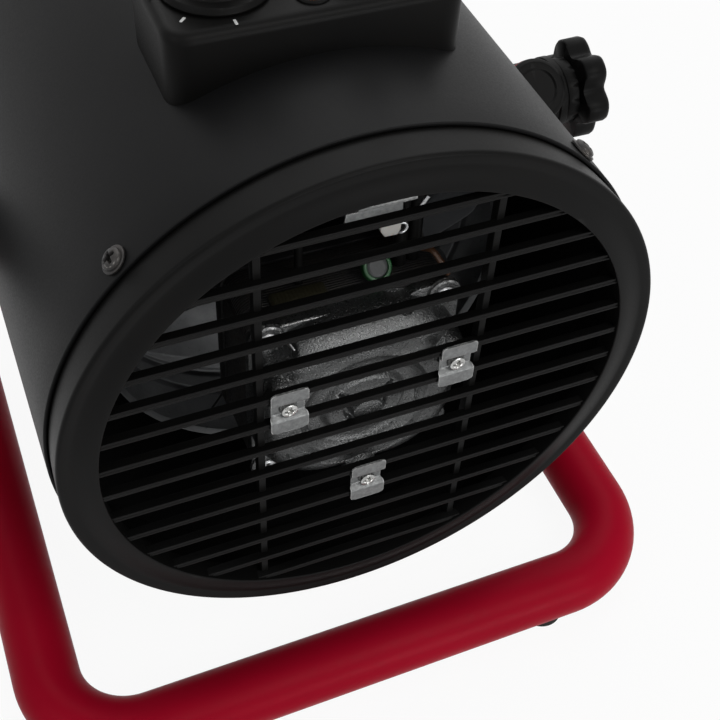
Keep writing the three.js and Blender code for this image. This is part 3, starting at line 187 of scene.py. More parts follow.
def finish_of(name, colour, second, cloud_scale, grain_scale, rough, bump, more):
    """A material from one row of the table of looks."""
    material, tree = tree_of(name)
    material.diffuse_color = (*colour, 1)
    more = dict(more)
    speck, worn, wave = (more.pop(key, None) for key in ("speck", "worn", "wave"))
    place = made(tree, "ShaderNodeTexCoord")["Object"]
    grain = noise(tree, place, grain_scale, 3)
    colour = mixed(tree, spread(tree, noise(tree, place, cloud_scale, 4), 0, 1), colour, second)
    if speck:
        tint, scale, start = speck
        dots = noise(tree, place, scale, 2, 0.7)
        colour = mixed(tree, spread(tree, dots, 0, 1, start, start + SPECK_FADE), colour, tint)
    if worn:
        tint, start = worn
        edge = made(tree, "ShaderNodeNewGeometry")["Pointiness"]
        share = spread(tree, edge, 0, 1, start, start + WEAR_FADE)
        broken = combined(tree, "MULTIPLY", share, spread(tree, grain, 0.2, 1))
        colour = mixed(tree, broken, colour, tint)
    layers = [(grain, *bump)]
    if wave:
        scale, axis, *depth = wave
        inputs = {"Scale": scale, "Distortion": 0.3, "Vector": place}
        layers.append((made(tree, "ShaderNodeTexWave", inputs, bands_direction=axis)["Fac"], *depth))
    gloss = spread(tree, grain, *rough)
    inputs = {"Base Color": colour, "Roughness": gloss, "Normal": bumps(tree, layers), **more}
    shader = made(tree, "ShaderNodeBsdfPrincipled", inputs)["BSDF"]
    made(tree, "ShaderNodeOutputMaterial", {"Surface": shader})
    return material


# Two colours that mix in clouds, the scales of the clouds and the grain, the range of roughness, the strength
# and depth in mm of the bumps, and what only some have: specks of (colour, scale, start), wear of edges of
# (colour, start), waves of (scale, axis, strength, depth) and values of the shader
LOOKS = {
    "red_paint": ((0.38, 0.003, 0.019), (0.31, 0.0025, 0.015), 9, 320, (0.34, 0.46), (0.06, 0.3), {
        "Specular IOR Level": 0.04}),
    "black_paint": ((0.0055, 0.0055, 0.0057), (0.0075, 0.0075, 0.0077), 14, 1500, (0.40, 0.50), (0.12, 0.1), {
        "Specular IOR Level": 0.07}),
    "black_plastic": (
        (0.0035, 0.0035, 0.0035), (0.0050, 0.0048, 0.0046), 18, 1900, (0.36, 0.46), (0.14, 0.08), {
        "worn": ((0.015, 0.015, 0.015), 0.56), "Specular IOR Level": 0.06}),
    "rubber": ((0.010, 0.010, 0.010), (0.017, 0.016, 0.015), 60, 2500, (0.7, 0.9), (0.3, 0.1), {
        "Specular IOR Level": 0.15}),
    "dark_steel": ((0.020, 0.020, 0.021), (0.045, 0.04, 0.036), 120, 1800, (0.3, 0.5), (0.12, 0.08), {
        "worn": ((0.16, 0.15, 0.14), 0.57), "Metallic": 0.7}),
    "steel": ((0.50, 0.50, 0.50), (0.38, 0.39, 0.40), 90, 2200, (0.24, 0.42), (0.1, 0.05), {"Metallic": 1.0}),
    "zinc_sheet": ((0.12, 0.123, 0.123), (0.20, 0.205, 0.205), 620, 1500, (0.38, 0.6), (0.2, 0.06), {
        "speck": ((0.13, 0.133, 0.136), 900, 0.6), "worn": ((0.72, 0.72, 0.71), 0.555), "Metallic": 0.8}),
    "cast_alloy": ((0.10, 0.102, 0.102), (0.145, 0.147, 0.147), 60, 1500, (0.24, 0.38), (0.9, 0.4), {
        "speck": ((0.06, 0.06, 0.06), 420, 0.66), "worn": ((0.42, 0.42, 0.42), 0.545), "Metallic": 0.9}),
    "blade_alloy": ((0.030, 0.031, 0.033), (0.020, 0.021, 0.022), 40, 1600, (0.55, 0.7), (0.1, 0.06), {
        "worn": ((0.08, 0.08, 0.08), 0.56), "Metallic": 0.5, "Specular IOR Level": 0.1}),
    "laminations": ((0.020, 0.020, 0.022), (0.038, 0.033, 0.028), 80, 1500, (0.35, 0.6), (0.2, 0.08), {
        "wave": (320, "Y", 0.7, 0.25), "worn": ((0.12, 0.12, 0.12), 0.56), "Metallic": 0.6}),
    "screw_zinc": ((0.50, 0.50, 0.49), (0.30, 0.30, 0.29), 600, 2200, (0.16, 0.34), (0.25, 0.06), {
        "speck": ((0.10, 0.10, 0.09), 900, 0.62), "Metallic": 1.0}),
    "earth_pale": ((0.07, 0.073, 0.073), (0.045, 0.047, 0.048), 200, 1600, (0.4, 0.6), (0.1, 0.05), {}),
    "cast_black": ((0.010, 0.010, 0.011), (0.018, 0.017, 0.016), 70, 1300, (0.5, 0.7), (0.3, 0.12), {
        "Specular IOR Level": 0.1}),
    "duct_sheet": ((0.11, 0.113, 0.116), (0.15, 0.153, 0.156), 120, 1200, (0.34, 0.5), (0.12, 0.05), {
        "speck": ((0.08, 0.083, 0.086), 500, 0.66), "Metallic": 0.8}),
    "element_sheath": ((0.10, 0.085, 0.07), (0.20, 0.16, 0.11), 45, 1500, (0.38, 0.6), (0.2, 0.06), {
        "speck": ((0.05, 0.05, 0.08), 200, 0.6), "Metallic": 0.85}),
    "white_nylon": ((0.52, 0.51, 0.49), (0.46, 0.45, 0.42), 60, 1800, (0.38, 0.5), (0.08, 0.06), {
        "Subsurface Weight": 0.15, "Subsurface Scale": 0.002}),
    "amber_lens": ((0.62, 0.14, 0.01), (0.74, 0.22, 0.02), 200, 900, (0.08, 0.16), (0.05, 0.05), {
        "Transmission Weight": 0.5, "IOR": 1.49, "Coat Weight": 0.5}),
    "brown_wire": ((0.08, 0.032, 0.012), (0.06, 0.024, 0.009), 120, 1500, (0.35, 0.5), (0.08, 0.05), {
        "Coat Weight": 0.1}),
    "green_wire": ((0.006, 0.075, 0.016), (0.004, 0.055, 0.011), 120, 1500, (0.35, 0.5), (0.08, 0.05), {
        "Coat Weight": 0.1}),
    "coil_tape": ((0.022, 0.019, 0.006), (0.014, 0.012, 0.004), 90, 1400, (0.5, 0.7), (0.2, 0.08), {
        "wave": (260, "X", 0.3, 0.1)}),
    "dial_mark": ((0.70, 0.70, 0.69), (0.60, 0.60, 0.59), 300, 2600, (0.5, 0.65), (0.1, 0.04), {}),
    # This look is the gland's real rubber seal, and it also colours the painted shadow ring round the clip
    # screws
    "seal_rubber": ((0.013, 0.013, 0.013), (0.02, 0.02, 0.02), 90, 2500, (0.6, 0.8), (0.2, 0.08), {}),
}
MATERIALS = {name: finish_of(name, *row) for name, row in LOOKS.items()}


# Mesh making


def put(name, verts, faces, look, body, nodes=(), sharp=34):
    """Makes a smooth-shaded mesh piece from millimetres and hangs it on its body."""
    mesh = bpy.data.meshes.new(name)
    mesh.from_pydata([tuple(c * MM for c in v) for v in verts], [], faces)
    shape = bmesh.new()
    shape.from_mesh(mesh)
    bmesh.ops.remove_doubles(shape, verts=shape.verts, dist=MERGE)
    bmesh.ops.recalc_face_normals(shape, faces=shape.faces)
    shape.to_mesh(mesh)
    shape.free()
    mesh.shade_smooth()
    mesh.set_sharp_from_angle(angle=radians(sharp))
    mesh.materials.append(MATERIALS[look])
    piece = bpy.data.objects.new(name, mesh)
    bpy.context.scene.collection.objects.link(piece)
    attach(piece, body)
    if nodes:
        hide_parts(*nodes)


def put_turned(name, points, place, segments, look, body, nodes=(), steps=5):
    """Makes a piece turned from the corners of its profile."""
    put(name, *turned(filleted(points, steps), place, segments), look, body, nodes)


def gathered(parts):
    """Several (verts, faces) as one."""
    verts, faces = [], []
    for part_verts, part_faces in parts:
        start = len(verts)
        verts.extend(part_verts)
        faces.extend([tuple(i + start for i in face) for face in part_faces])
    return verts, faces


def placed(origin, along, up=(0, 0, 1)):
    """A place function: (u, v, w) with w along the given direction and v as near to up as it can be."""
    w_axis = Vector(along).normalized()
    u_axis = Vector(up).cross(w_axis)
    if u_axis.length < 1e-6:
        u_axis = Vector((1, 0, 0))
    u_axis.normalize()
    v_axis = w_axis.cross(u_axis)
    start = Vector(origin)
    return lambda u, v, w: tuple(start + u_axis * u + v_axis * v + w_axis * w)


def upright(x, y, z):
    """A place whose w runs up and whose v runs to the rear."""
    return placed((x, y, z), (0, 0, 1), (0, 1, 0))


DRUM = placed((0, REAR_Y, DRUM_Z), (0, -1, 0))
FAN = placed((0, REAR_Y, FAN_Z), (0, -1, 0))


def ring_faces(rings, size, joined=False):
    """Faces between equal rings of corners that follow each other; joined also ties the last to the first."""
    faces = []
    for i in range(rings if joined else rings - 1):
        a, b = i * size, (i + 1) % rings * size
        faces.extend((a + k, a + (k + 1) % size, b + (k + 1) % size, b + k) for k in range(size))
    return faces


def lofted(verts, size):
    """Equal sections that follow each other, tied by faces and closed at both ends."""
    start = len(verts) - size
    return verts, [*ring_faces(len(verts) // size, size), tuple(range(size)), tuple(range(start, len(verts)))]


def filleted(points, steps=5, closed=True):
    """A polyline with its corners rounded: each point is (a, b) or (a, b, radius)."""
    count = len(points)
    line = []
    for i, point in enumerate(points):
        corner = Vector(point[:2])
        before = Vector(points[i - 1][:2]) - corner
        after = Vector(points[(i + 1) % count][:2]) - corner
        radius = point[2] if len(point) > 2 and (closed or 0 < i < count - 1) else 0
        angle = before.angle(after) if radius else 0
        if not radius or angle > pi - 0.01:
            line.append(tuple(corner))
            continue
        reach = min(radius / abs(sin(angle / 2) / cos(angle / 2)), 0.49 * before.length, 0.49 * after.length)
        first = corner + before.normalized() * reach
        last = corner + after.normalized() * reach
        for step in range(steps + 1):
            share = step / steps
            a = first.lerp(corner, share)
            b = corner.lerp(last, share)
            line.append(tuple(a.lerp(b, share)))
    return line


def turned(profile, place, segments, round_of=None):
    """A profile of (radius, along) turned round a place's w axis. round_of(angle, radius) changes radii."""
    verts = []
    for k in range(segments):
        angle = tau * k / segments
        for radius, along in profile:
            reach = round_of(angle, radius) if round_of else radius
            verts.append(place(reach * cos(angle), reach * sin(angle), along))
    return verts, ring_faces(segments, len(profile), joined=True)


def swept(points, section, closed=False, up=(0, 0, 1)):
    """A closed section of (a, b) carried along 3-D points, with its ends capped."""
    path = [Vector(p) for p in points]
    count = len(path)
    verts = []
    side = None
    for i, point in enumerate(path):
        before = path[i - 1] if (i or closed) else point
        after = path[(i + 1) % count] if (i < count - 1 or closed) else point
        direction = (after - before).normalized()
        if side is None:
            side = direction.cross(Vector(up))
            if side.length < 1e-6:
                side = direction.cross(Vector((1, 0, 0)))
        side = (side - direction * side.dot(direction)).normalized()
        upward = side.cross(direction)
        verts.extend(tuple(point + side * a + upward * b) for a, b in section)
    if closed:
        return verts, ring_faces(count, len(section), joined=True)
    return lofted(verts, len(section))


def circle(radius, sides):
    """The corners of a round section."""
    return [(radius * cos(tau * k / sides), radius * sin(tau * k / sides)) for k in range(sides)]


def bent(corners, radius, steps=10, spacing=5.0):
    """A 3-D polyline with round bends and evenly divided straights."""
    points = [Vector(corners[0])]
    for i in range(1, len(corners) - 1):
        corner = Vector(corners[i])
        before = (Vector(corners[i - 1]) - corner).normalized()
        after = (Vector(corners[i + 1]) - corner).normalized()
        half = before.angle(after) / 2
        reach = radius / (sin(half) / cos(half))
        centre = corner + (before + after).normalized() * (radius / sin(half))
        first, last = corner + before * reach, corner + after * reach
        a, b = first - centre, last - centre
        angle = a.angle(b)
        axis = a.cross(b).normalized()
        for step in range(steps + 1):
            points.append(centre + Matrix.Rotation(angle * step / steps, 3, axis) @ a)
    points.append(Vector(corners[-1]))
    line = [points[0]]
    for point in points[1:]:
        gap = (point - line[-1]).length
        parts = max(1, round(gap / spacing)) if gap > 2 * spacing else 1
        start = line[-1]
        line.extend(start.lerp(point, k / parts) for k in range(1, parts + 1))
    return line


def prism(outline, place, low, high, edge, steps=3):
    """A closed 2-D outline extruded along w, with rounded rims of the given edge."""
    levels = [(low + edge - edge * sin(pi / 2 * k / steps), edge - edge * cos(pi / 2 * k / steps))
              for k in range(steps, -1, -1)]
    tops = [(low + high - along, inset) for along, inset in reversed(levels)]
    normals = outline_normals(outline)
    verts = [place(a - n.x * inset, b - n.y * inset, along)
             for along, inset in levels + tops for (a, b), n in zip(outline, normals)]
    return lofted(verts, len(outline))


def outline_normals(outline):
    """Outward miter directions of a closed outline, whichever way round it runs."""
    count = len(outline)
    area = sum(outline[k][0] * outline[(k + 1) % count][1] - outline[(k + 1) % count][0] * outline[k][1]
               for k in range(count))
    sign = 1 if area > 0 else -1
    normals = []
    for k in range(count):
        before = Vector(outline[k]) - Vector(outline[k - 1])
        after = Vector(outline[(k + 1) % count]) - Vector(outline[k])
        first = Vector((before.y, -before.x)).normalized()
        last = Vector((after.y, -after.x)).normalized()
        total = first + last
        length = max(total.length_squared / 2, 0.3)
        normals.append(total * (sign / length))
    return normals


def rounded_box(half_a, half_b, corner, steps):
    """The outline of a rectangle with round corners."""
    corners = ((1, 1), (-1, 1), (-1, -1), (1, -1))
    return filleted([(a * half_a, b * half_b, corner) for a, b in corners], steps)


def square_radius(angle, half, corner):
    """The radius of a square with round corners at an angle."""
    s, c = sorted((abs(cos(angle)), abs(sin(angle))))
    inner = half - corner
    reach = half / c
    if reach * s <= inner:
        return reach
    middle = inner * (c + s)
    return middle + sqrt(max(middle ** 2 - (2 * inner ** 2 - corner ** 2), 0))


def relief(place, reach_of, height_of, rings, segments, back):
    """A polar grid out to reach_of(angle) whose w is height_of(u, v), closed by a side wall and a back."""
    angles = [tau * k / segments for k in range(segments)]
    verts = [place(0, 0, height_of(0, 0))]
    for ring in range(1, rings + 1):
        for angle in angles:
            reach = reach_of(angle) * (ring / rings)
            u, v = reach * cos(angle), reach * sin(angle)
            verts.append(place(u, v, height_of(u, v)))
    verts.extend(place(reach_of(angle) * cos(angle), reach_of(angle) * sin(angle), back) for angle in angles)
    faces = [(0, 1 + k, 1 + (k + 1) % segments) for k in range(segments)]
    faces.extend(tuple(1 + i for i in face) for face in ring_faces(rings + 1, segments))
    faces.append(tuple(range(1 + rings * segments, len(verts))))
    return verts, faces


def two_sided(rows, columns, point):
    """A sheet of point(side, row, column) on both its sides, with its four rims closed."""
    verts = [point(side, i, j) for side in (-1, 1) for i in range(rows) for j in range(columns)]
    size = rows * columns
    faces = [(a, a + 1, a + columns + 1, a + columns) for side in (0, size) for i in range(rows - 1)
             for a in range(side + i * columns, side + (i + 1) * columns - 1)]
    rims = [(i * columns + j, (i + 1) * columns + j) for j in (0, columns - 1) for i in range(rows - 1)]
    rims += [(i * columns + j, i * columns + j + 1) for i in (0, rows - 1) for j in range(columns - 1)]
    return verts, faces + [(a, b, b + size, a + size) for a, b in rims]


def divided(line, step, closed=True):
    """A line with its long straights divided."""
    points = []
    for k, point in enumerate(line if closed else line[:-1]):
        start, end = Vector(point), Vector(line[(k + 1) % len(line)])
        parts = max(1, int((end - start).length / step))
        points.extend(tuple(start.lerp(end, i / parts)) for i in range(parts))
    return points if closed else [*points, line[-1]]


def normal_at(line, k):
    """The direction across an open 2-D line at its point k."""
    before, after = Vector(line[max(k - 1, 0)]), Vector(line[min(k + 1, len(line) - 1)])
    return Vector((after.y - before.y, before.x - after.x)).normalized()


def step_between(value, low, high):
    """0 below low, 1 above high, smooth between."""
    share = min(max((value - low) / (high - low), 0), 1)
    return share * share * (3 - 2 * share)


# Screws


def pan_head(place, radius, height, recess, flange, segments, crown=0.72):
    """A pan head with a cross recess, its top towards +w; a flange is (radius, thickness) or None."""
    rim = 0.94
    def top(u, v):
        r = hypot(u, v)
        low = height * sqrt(max(1 - (r / radius) ** 2.6 * crown, 0))
        if r > radius * rim:
            low = min(low, height * 0.5 * (1 - (r / radius - rim) / (1 - rim)) + height * 0.12)
        width = recess * (0.16 + 0.05 * (1 - r / radius))
        inside = step_between(width - min(abs(u), abs(v)), -0.10 * recess, 0.10 * recess)
        inside *= step_between(radius * 0.60 - r, -0.1 * recess, 0.25 * recess)
        return low - inside * height * 0.62
    parts = [relief(place, lambda angle: radius, top, 34, segments, -0.05)]
    if flange:
        reach, thick = flange
        washer = filleted([(0, 0), (reach, 0, 0.1), (reach, thick, 0.3), (0, thick + 0.1)], 3)
        parts.append(turned(washer, place, segments))
    return gathered(parts)


# Drum


def build_shell():
    outline = filleted([
        (DRUM_RADIUS, PARTING, 0.5), (DRUM_RADIUS, DRUM_DEPTH - PARTING, 0.5),
        (SHELL_INNER, DRUM_DEPTH - PARTING, 0.4), (SHELL_INNER, PARTING, 0.4),
    ])
    put("drum_skin", *turned(divided(outline, 12), DRUM, 256), "black_paint", "drum", ["drum_shell"])
    seam = [(-6, 98.2), (-6, 99.3, 0.3), (-4.6, 99.75, 0.4), (4.6, 99.75, 0.4), (6, 99.3, 0.3), (6, 98.2)]
    under = placed((0, REAR_Y, DRUM_Z), (0, -1, 0), (0, 0, -1))
    put("drum_seam", *prism(filleted(seam, 4), under, 30, 220, 0.2), "black_paint", "drum")


def ring_profile(face, inward):
    """The moulded end ring, from its lip over the soft ridge to the spigot inside the shell."""
    hollow = [(r, 1.35 * step_between(r, 86.6, 95.0) - 0.5 * step_between(r, 94.2, 97.0))
              for r in (87.4 + 0.6 * k for k in range(14))]
    points = [
        (OPENING, LIP_DEPTH, 0.4), (OPENING, -0.04, 0.9), *hollow, (98.55, 0.84, 3.2),
        (97.9, 12.9, 0.25), (97.75, 13.1), (97.75, 28.9, 0.4),
        (94.6, 28.9, 0.4), (94.6, 3.75, 1.0), (OPENING + LIP, 3.55, 0.8), (OPENING + LIP, LIP_DEPTH, 0.4),
    ]
    return [(r, face + inward * d) for r, d in filleted(points, 8)]


def slat_section():
    """A slat's outline as (depth, height): a grooved face at the rear, narrower at the front."""
    face = [(1.0, -1.15, 0.28), (1.0, -0.42, 0.1), (1.55, 0, 0.25), (1.0, 0.42, 0.1), (1.0, 1.15, 0.28)]
    return filleted([*face, (4.2, 0.8, 0.3), (4.2, -0.8, 0.3)], 4)


def chord(offset):
    """Half the opening's width at an offset from its middle, and a little more to bite into the ring."""
    return sqrt(max((OPENING + 0.9) ** 2 - offset ** 2, 0))


def build_rear_grille():
    put("rear_bezel", *turned(ring_profile(0, 1), DRUM, 256), "black_plastic", "drum", ["rear_grille"])
    slats = []
    for k in range(SLAT_COUNT):
        height = (k - (SLAT_COUNT - 1) / 2) * SLAT_PITCH
        section = slat_section()
        verts = [(side * share * chord(height + z), at(depth), DRUM_Z + height + z)
                 for side, share in ((-1, 1), (-1, 0.5), (1, 0), (1, 0.5), (1, 1)) for depth, z in section]
        slats.append(lofted(verts, len(section)))
    put("rear_slats", *gathered(slats), "black_plastic", "drum", ["rear_grille"])
    ribs = []
    for x in (-RIB_X, RIB_X):
        section = filleted([(-1.2, 3.2, 0.3), (1.2, 3.2, 0.3), (0.95, 7.3, 0.6), (-0.95, 7.3, 0.6)], 4)
        levels = (-1, -0.5, 0, 0.5, 1)
        verts = [(x + a, at(depth), DRUM_Z + level * chord(x)) for level in levels for a, depth in section]
        ribs.append(lofted(verts, len(section)))
    put("rear_ribs", *gathered(ribs), "black_plastic", "drum", ["rear_grille"])


def build_front():
    ring = turned(ring_profile(DRUM_DEPTH, -1), DRUM, 256)
    put("front_bezel", *ring, "black_plastic", "drum", ["front_ring"])
    depth = DRUM_DEPTH - LIP_DEPTH - 0.3 - 1.5
    outer = OPENING + LIP / 2
    wires = []
    for k in range(1, 7):
        points = [DRUM(a, b, depth) for a, b in circle(outer * k / 6, 96)]
        wires.append(swept(points, circle(1.45, 14), closed=True))
    for k in range(6):
        angle = pi / 2 + tau * k / 6
        ends = [DRUM(r * cos(angle), r * sin(angle), depth - 1.7) for r in (8, 30, 60, outer)]
        wires.append(swept(ends, circle(1.4, 14)))
    put("guard_wires", *gathered(wires), "dark_steel", "drum", ["front_guard"])
    plate = [(0, depth - 1.3), (14.6, depth - 1.3, 0.4), (15, depth + 2.2, 0.8), (13, depth + 3.4, 0.8),
             (10.5, depth + 3.0, 0.8), (0, depth + 3.0)]
    put_turned("guard_plate", plate, DRUM, 96, "dark_steel", "drum", ["front_guard"])


def build_shell_screws():
    for row, depth in SCREW_DEPTHS.items():
        for name, angle in SCREW_ANGLES.items():
            t = radians(angle)
            outward = (cos(t), 0, sin(t))
            origin = (99.5 * cos(t), at(depth), DRUM_Z + 99.5 * sin(t))
            head = pan_head(placed(origin, outward, (0, 1, 0)), 3.5, 2.5, 2.6, (4.2, 0.8), 48)
            put(f"{row}_shell_screw_{name}", *head, "dark_steel", "drum", [f"{row}_screw_{name}"])


# Motor


def bell_height(u, v):
    """Depth of the rear bell's cast face: boss, dip, ring with slots, hollow, face and rounded shoulder."""
    r = hypot(u, v)
    angle = atan2(v, u)
    inset = square_radius(angle, MOTOR_HALF, MOTOR_CORNER) - r
    if r < 7.6:
        depth = 4.0 + 0.35 * min(r / 4.9, 1) ** 2
        depth += 3.85 * step_between(r, 4.9, 5.6) - 1.6 * step_between(r, 6.6, 7.6)
    elif r < 17:
        depth = 6.6 + 3.0 * step_between(r, 12, 15.2)
    elif r < 22:
        depth = 6.9 + 2.7 * (1 - (1 - (22 - r) / 5) ** 2)
    else:
        depth = 6.9 + 0.3 * step_between(r, 22, 25.5)
    if inset < 9.5:
        bulge = 1 - sqrt(max(1 - (1 - max(inset, 0) / 9.5) ** 2, 0))
        depth = max(depth, 7.2 + 9.6 * bulge)
    if 6.6 < r < 13:
        turn = ((angle + pi / 4) / tau * 4) % 1
        gap = min(turn, 1 - turn) * tau / 4 * r
        depth += 1.9 * (1 - step_between(gap, 0.6, 1.2)) * step_between(12.8 - r, 0, 0.8)
    return depth + bell_lines(u, v, r)


def bell_lines(u, v, r):
    """The thin parting grooves, panel ends and drain dots in the bell's face."""
    side = abs(u)
    gaps = []
    if v < 0:
        gaps.append(abs(r - 19.8))
        if side < 14.8:
            gaps.append(abs(r - 28.3))
    if -9 < v < 0:
        gaps.append(abs(side - 18.8))
    if v < -15:
        gaps.append(abs(hypot(side - 21.8, v + 15) - 4.2))
    groove = max((1 - step_between(gap, 0.12, 0.42) for gap in gaps), default=0)
    dot = 1 - step_between(hypot(side - 21.8, v + 19.5), 0.4, 0.8)
    return 0.55 * groove + 0.8 * dot


def with_pockets(u, v):
    """The bell's face with its bolt pockets, the notch in its upper edge and the raised pads of screws."""
    depth = bell_height(u, v)
    for a, b, reach in BOLTS:
        gap = hypot(u - a, v - b)
        if gap < reach + 1.3:
            depth = max(depth, FLANGE_FACE - 9.0 * step_between(gap, reach, reach + 1.3))
    x, z, radius = NOTCH
    gap = hypot(u - x, v - z)
    if gap < radius:
        depth = BELL_FRONT - 0.2
    elif gap < radius + 0.9:
        depth -= 0.5
    for x, z in CLIP_PLACES.values():
        gap = hypot(u - x, v - z)
        if gap < 6.4:
            depth = min(depth, 5.4 + 7 * step_between(gap, 5.0, 6.4))
        if gap < 4.1:
            depth = min(depth, 3.95 + 5 * step_between(gap, 3.75, 4.1))
    return depth


def notched_flange():
    """The square flange's outline, with the round notch in its upper edge."""
    x, z, radius = NOTCH
    half = MOTOR_HALF - 0.2
    reach = sqrt(radius ** 2 - (z - half) ** 2)
    first = atan2(half - z, reach)
    last = -pi - first
    angles = [first + (last - first) * k / 12 for k in range(13)]
    notch = [(x + radius * cos(angle), z + radius * sin(angle)) for angle in angles]
    corners = [(a * half, b * half, FLANGE_CORNER) for a, b in ((-1, 1), (-1, -1), (1, -1), (1, 1))]
    return filleted([*notch, *corners], 8)


def build_rear_bell():
    def outline(angle):
        return square_radius(angle, MOTOR_HALF, MOTOR_CORNER)
    parts = [relief(FAN, outline, with_pockets, 110, 384, BELL_FRONT),
             prism(notched_flange(), FAN, FLANGE_FACE, BELL_FRONT, 0.4)]
    collar = [(3.2, 16.9), (3.2, 17.6), (5.6, 17.6), (5.4, 16.4, 0.4), (4.6, 16.0, 0.4), (3.2, 16.2)]
    for a, b, _ in BOLTS:
        parts.append(turned(filleted(collar, 4), placed((a, REAR_Y, FAN_Z + b), (0, -1, 0)), 40))
    for line in ([(25.7, 34.6, 17.4), (24.2, 32.8, 13.6), (22.5, 30.0, 11.0)],
                 [(-9.4, 34.5, 16.4), (-10.6, 33.8, 15.2), (-12.0, 32.4, 14.2)],
                 [(29.0, 34.2, 17.6), (19.0, 34.4, 17.6), (9.0, 34.6, 17.2)],
                 [(21.0, 31.6, 14.2), (15.0, 33.2, 15.6), (9.0, 34.4, 16.9)]):
        parts.append(bell_rib(line))
    put("bell_casting", *gathered(parts), "cast_alloy", "drum", ["motor_rear_bell"])
    heads = [pan_head(placed((a, at(FLANGE_FACE - 0.2), FAN_Z + b), (0, 1, 0)), 3.1, 2.2, 2.4, (3.9, 0.6), 40)
             for a, b, _ in BOLTS]
    put("bell_bolts", *gathered(heads), "steel", "drum")


def bell_rib(places):
    """A low rib on the bell's shoulder, along places of (u, v, depth)."""
    section = filleted([(-0.5, -1.6), (-0.3, 0.45, 0.25), (0.3, 0.45, 0.25), (0.5, -1.6)], 4)
    return swept([(u, at(depth), FAN_Z + v) for u, v, depth in places], section, up=(0, 1, 1))


def build_motor():
    build_rear_bell()
    for name in CLIP_PLACES:
        build_clip(name)
    shaft_end = [(0, 9.6), (2.6, 9.6, 0.3), (3.6, 10.6, 0.3), (3.6, 13), (0, 13)]
    put_turned("shaft_end", shaft_end, FAN, 40, "steel", "fan", steps=3)


def clip_line():
    """A clip's middle line from its upper edge to its lower edge, as (depth, height)."""
    half = CLIP_SHEET / 2
    bends = [(half, 3.75, 0.9), (2.55, 2.55, 0.9), (2.55, -2.55, 0.9), (half, -3.75, 0.9)]
    return filleted([(half, CLIP_REACH), *bends, (half, -CLIP_REACH)], 6, closed=False)


def clip_half_width(height):
    """Half a clip's width: square flaps over the slats, a slightly waisted middle and rounded corners."""
    corner = 1.3
    half = CLIP_WIDTH / 2 - 0.65 * (1 - step_between(abs(height), 2.6, 3.4))
    over = abs(height) - (CLIP_REACH - corner)
    if over > 0:
        half -= corner - sqrt(max(corner ** 2 - over ** 2, 0))
    return half


def build_clip(name):
    x, z = CLIP_PLACES[name]
    line = divided(clip_line(), 0.35, closed=False)
    across = 25
    def point(side, i, j):
        share = 2 * j / (across - 1) - 1
        depth, height = line[i]
        off = normal_at(line, i) * side * CLIP_SHEET / 2 * (1 - 0.35 * step_between(abs(share), 0.94, 1.0))
        return x + clip_half_width(height) * share, at(depth + off.x), FAN_Z + z + height + off.y
    sheet = two_sided(len(line), across, point)
    put(f"clip_{name}_sheet", *sheet, "zinc_sheet", "drum", [f"clip_{name}"], sharp=50)
    origin = (x, at(2.2 - 0.02), FAN_Z + z)
    head = pan_head(placed(origin, (0, 1, 0)), 2.75, 2.35, 2.6, None, 64, 0.42)
    put(f"clip_{name}_head", *head, "screw_zinc", "drum", [f"clip_screw_{name}"])
    # A thin near-black ring round each screw head is a painted shadow: it stands for the shade in the crevice
    # round the head
    shadow = [(2.3, 0.0), (2.95, 0.0), (2.95, 0.06), (2.3, 0.06)]
    put(f"clip_{name}_shade_ring", *turned(shadow, placed(origin, (0, 1, 0)), 48), "seal_rubber", "drum")


# Fan


def blade_point(angle, share, across, lift):
    """A point of a blade: share runs from root to tip, across from -0.5 to 0.5, lift off its middle sheet."""
    def between(key):
        return BLADE_ROOT[key] + (BLADE_TIP[key] - BLADE_ROOT[key]) * share
    radius = between("radius")
    width = BLADE_ROOT["width"] + (BLADE_TIP["width"] - BLADE_ROOT["width"]) * share ** 0.7
    limit = 1 - max(share - 0.88, 0) / 0.12
    width *= 1 - 0.16 * (1 - sqrt(max(1 - (1 - limit) ** 2, 0)))
    chord_at = width * across
    pitch = radians(between("pitch"))
    turn = radians(angle) + chord_at * cos(pitch) / max(radius, 15)
    depth = BLADE_DEPTH - chord_at * sin(pitch) + lift
    return FAN(radius * cos(turn), radius * sin(turn), depth)


def embossed(share, across):
    """How far a blade is pressed out of its sheet at a place."""
    crown = -1.2 * (1 - (2 * across) ** 2)
    bead = 0
    for centre in (-0.26, 0.0, 0.26):
        off = abs(across - centre * (1 - 0.25 * share))
        bead += 0.8 * (1 - step_between(off, 0.02, 0.055)) * step_between(share, 0.22, 0.34)
    bead *= step_between(0.93 - share, 0, 0.1)
    return crown - bead


def build_fan():
    parts = []
    along, across = 44, 36
    for k in range(BLADES):
        def point(side, i, j):
            share, place_across = i / along, j / across - 0.5
            lift = embossed(share, place_across) + side * BLADE_SHEET / 2
            return blade_point(BLADE_START + 360 / BLADES * k, share, place_across, lift)
        parts.append(two_sided(along + 1, across + 1, point))
    put("fan_blades", *gathered(parts), "blade_alloy", "fan", ["impeller"], sharp=40)
    hub = [(4.2, 61.6, 0.3), (9, 61.6, 0.5), (9.6, 63.2, 0.5), (13.6, 63.6, 0.8), (15, 65.4, 0.8),
           (15, 79.8, 0.8), (9, 80.6, 0.5), (4.2, 80.6, 0.3)]
    put_turned("fan_hub", hub, FAN, 96, "blade_alloy", "fan", ["impeller"])


# Air duct and heating elements


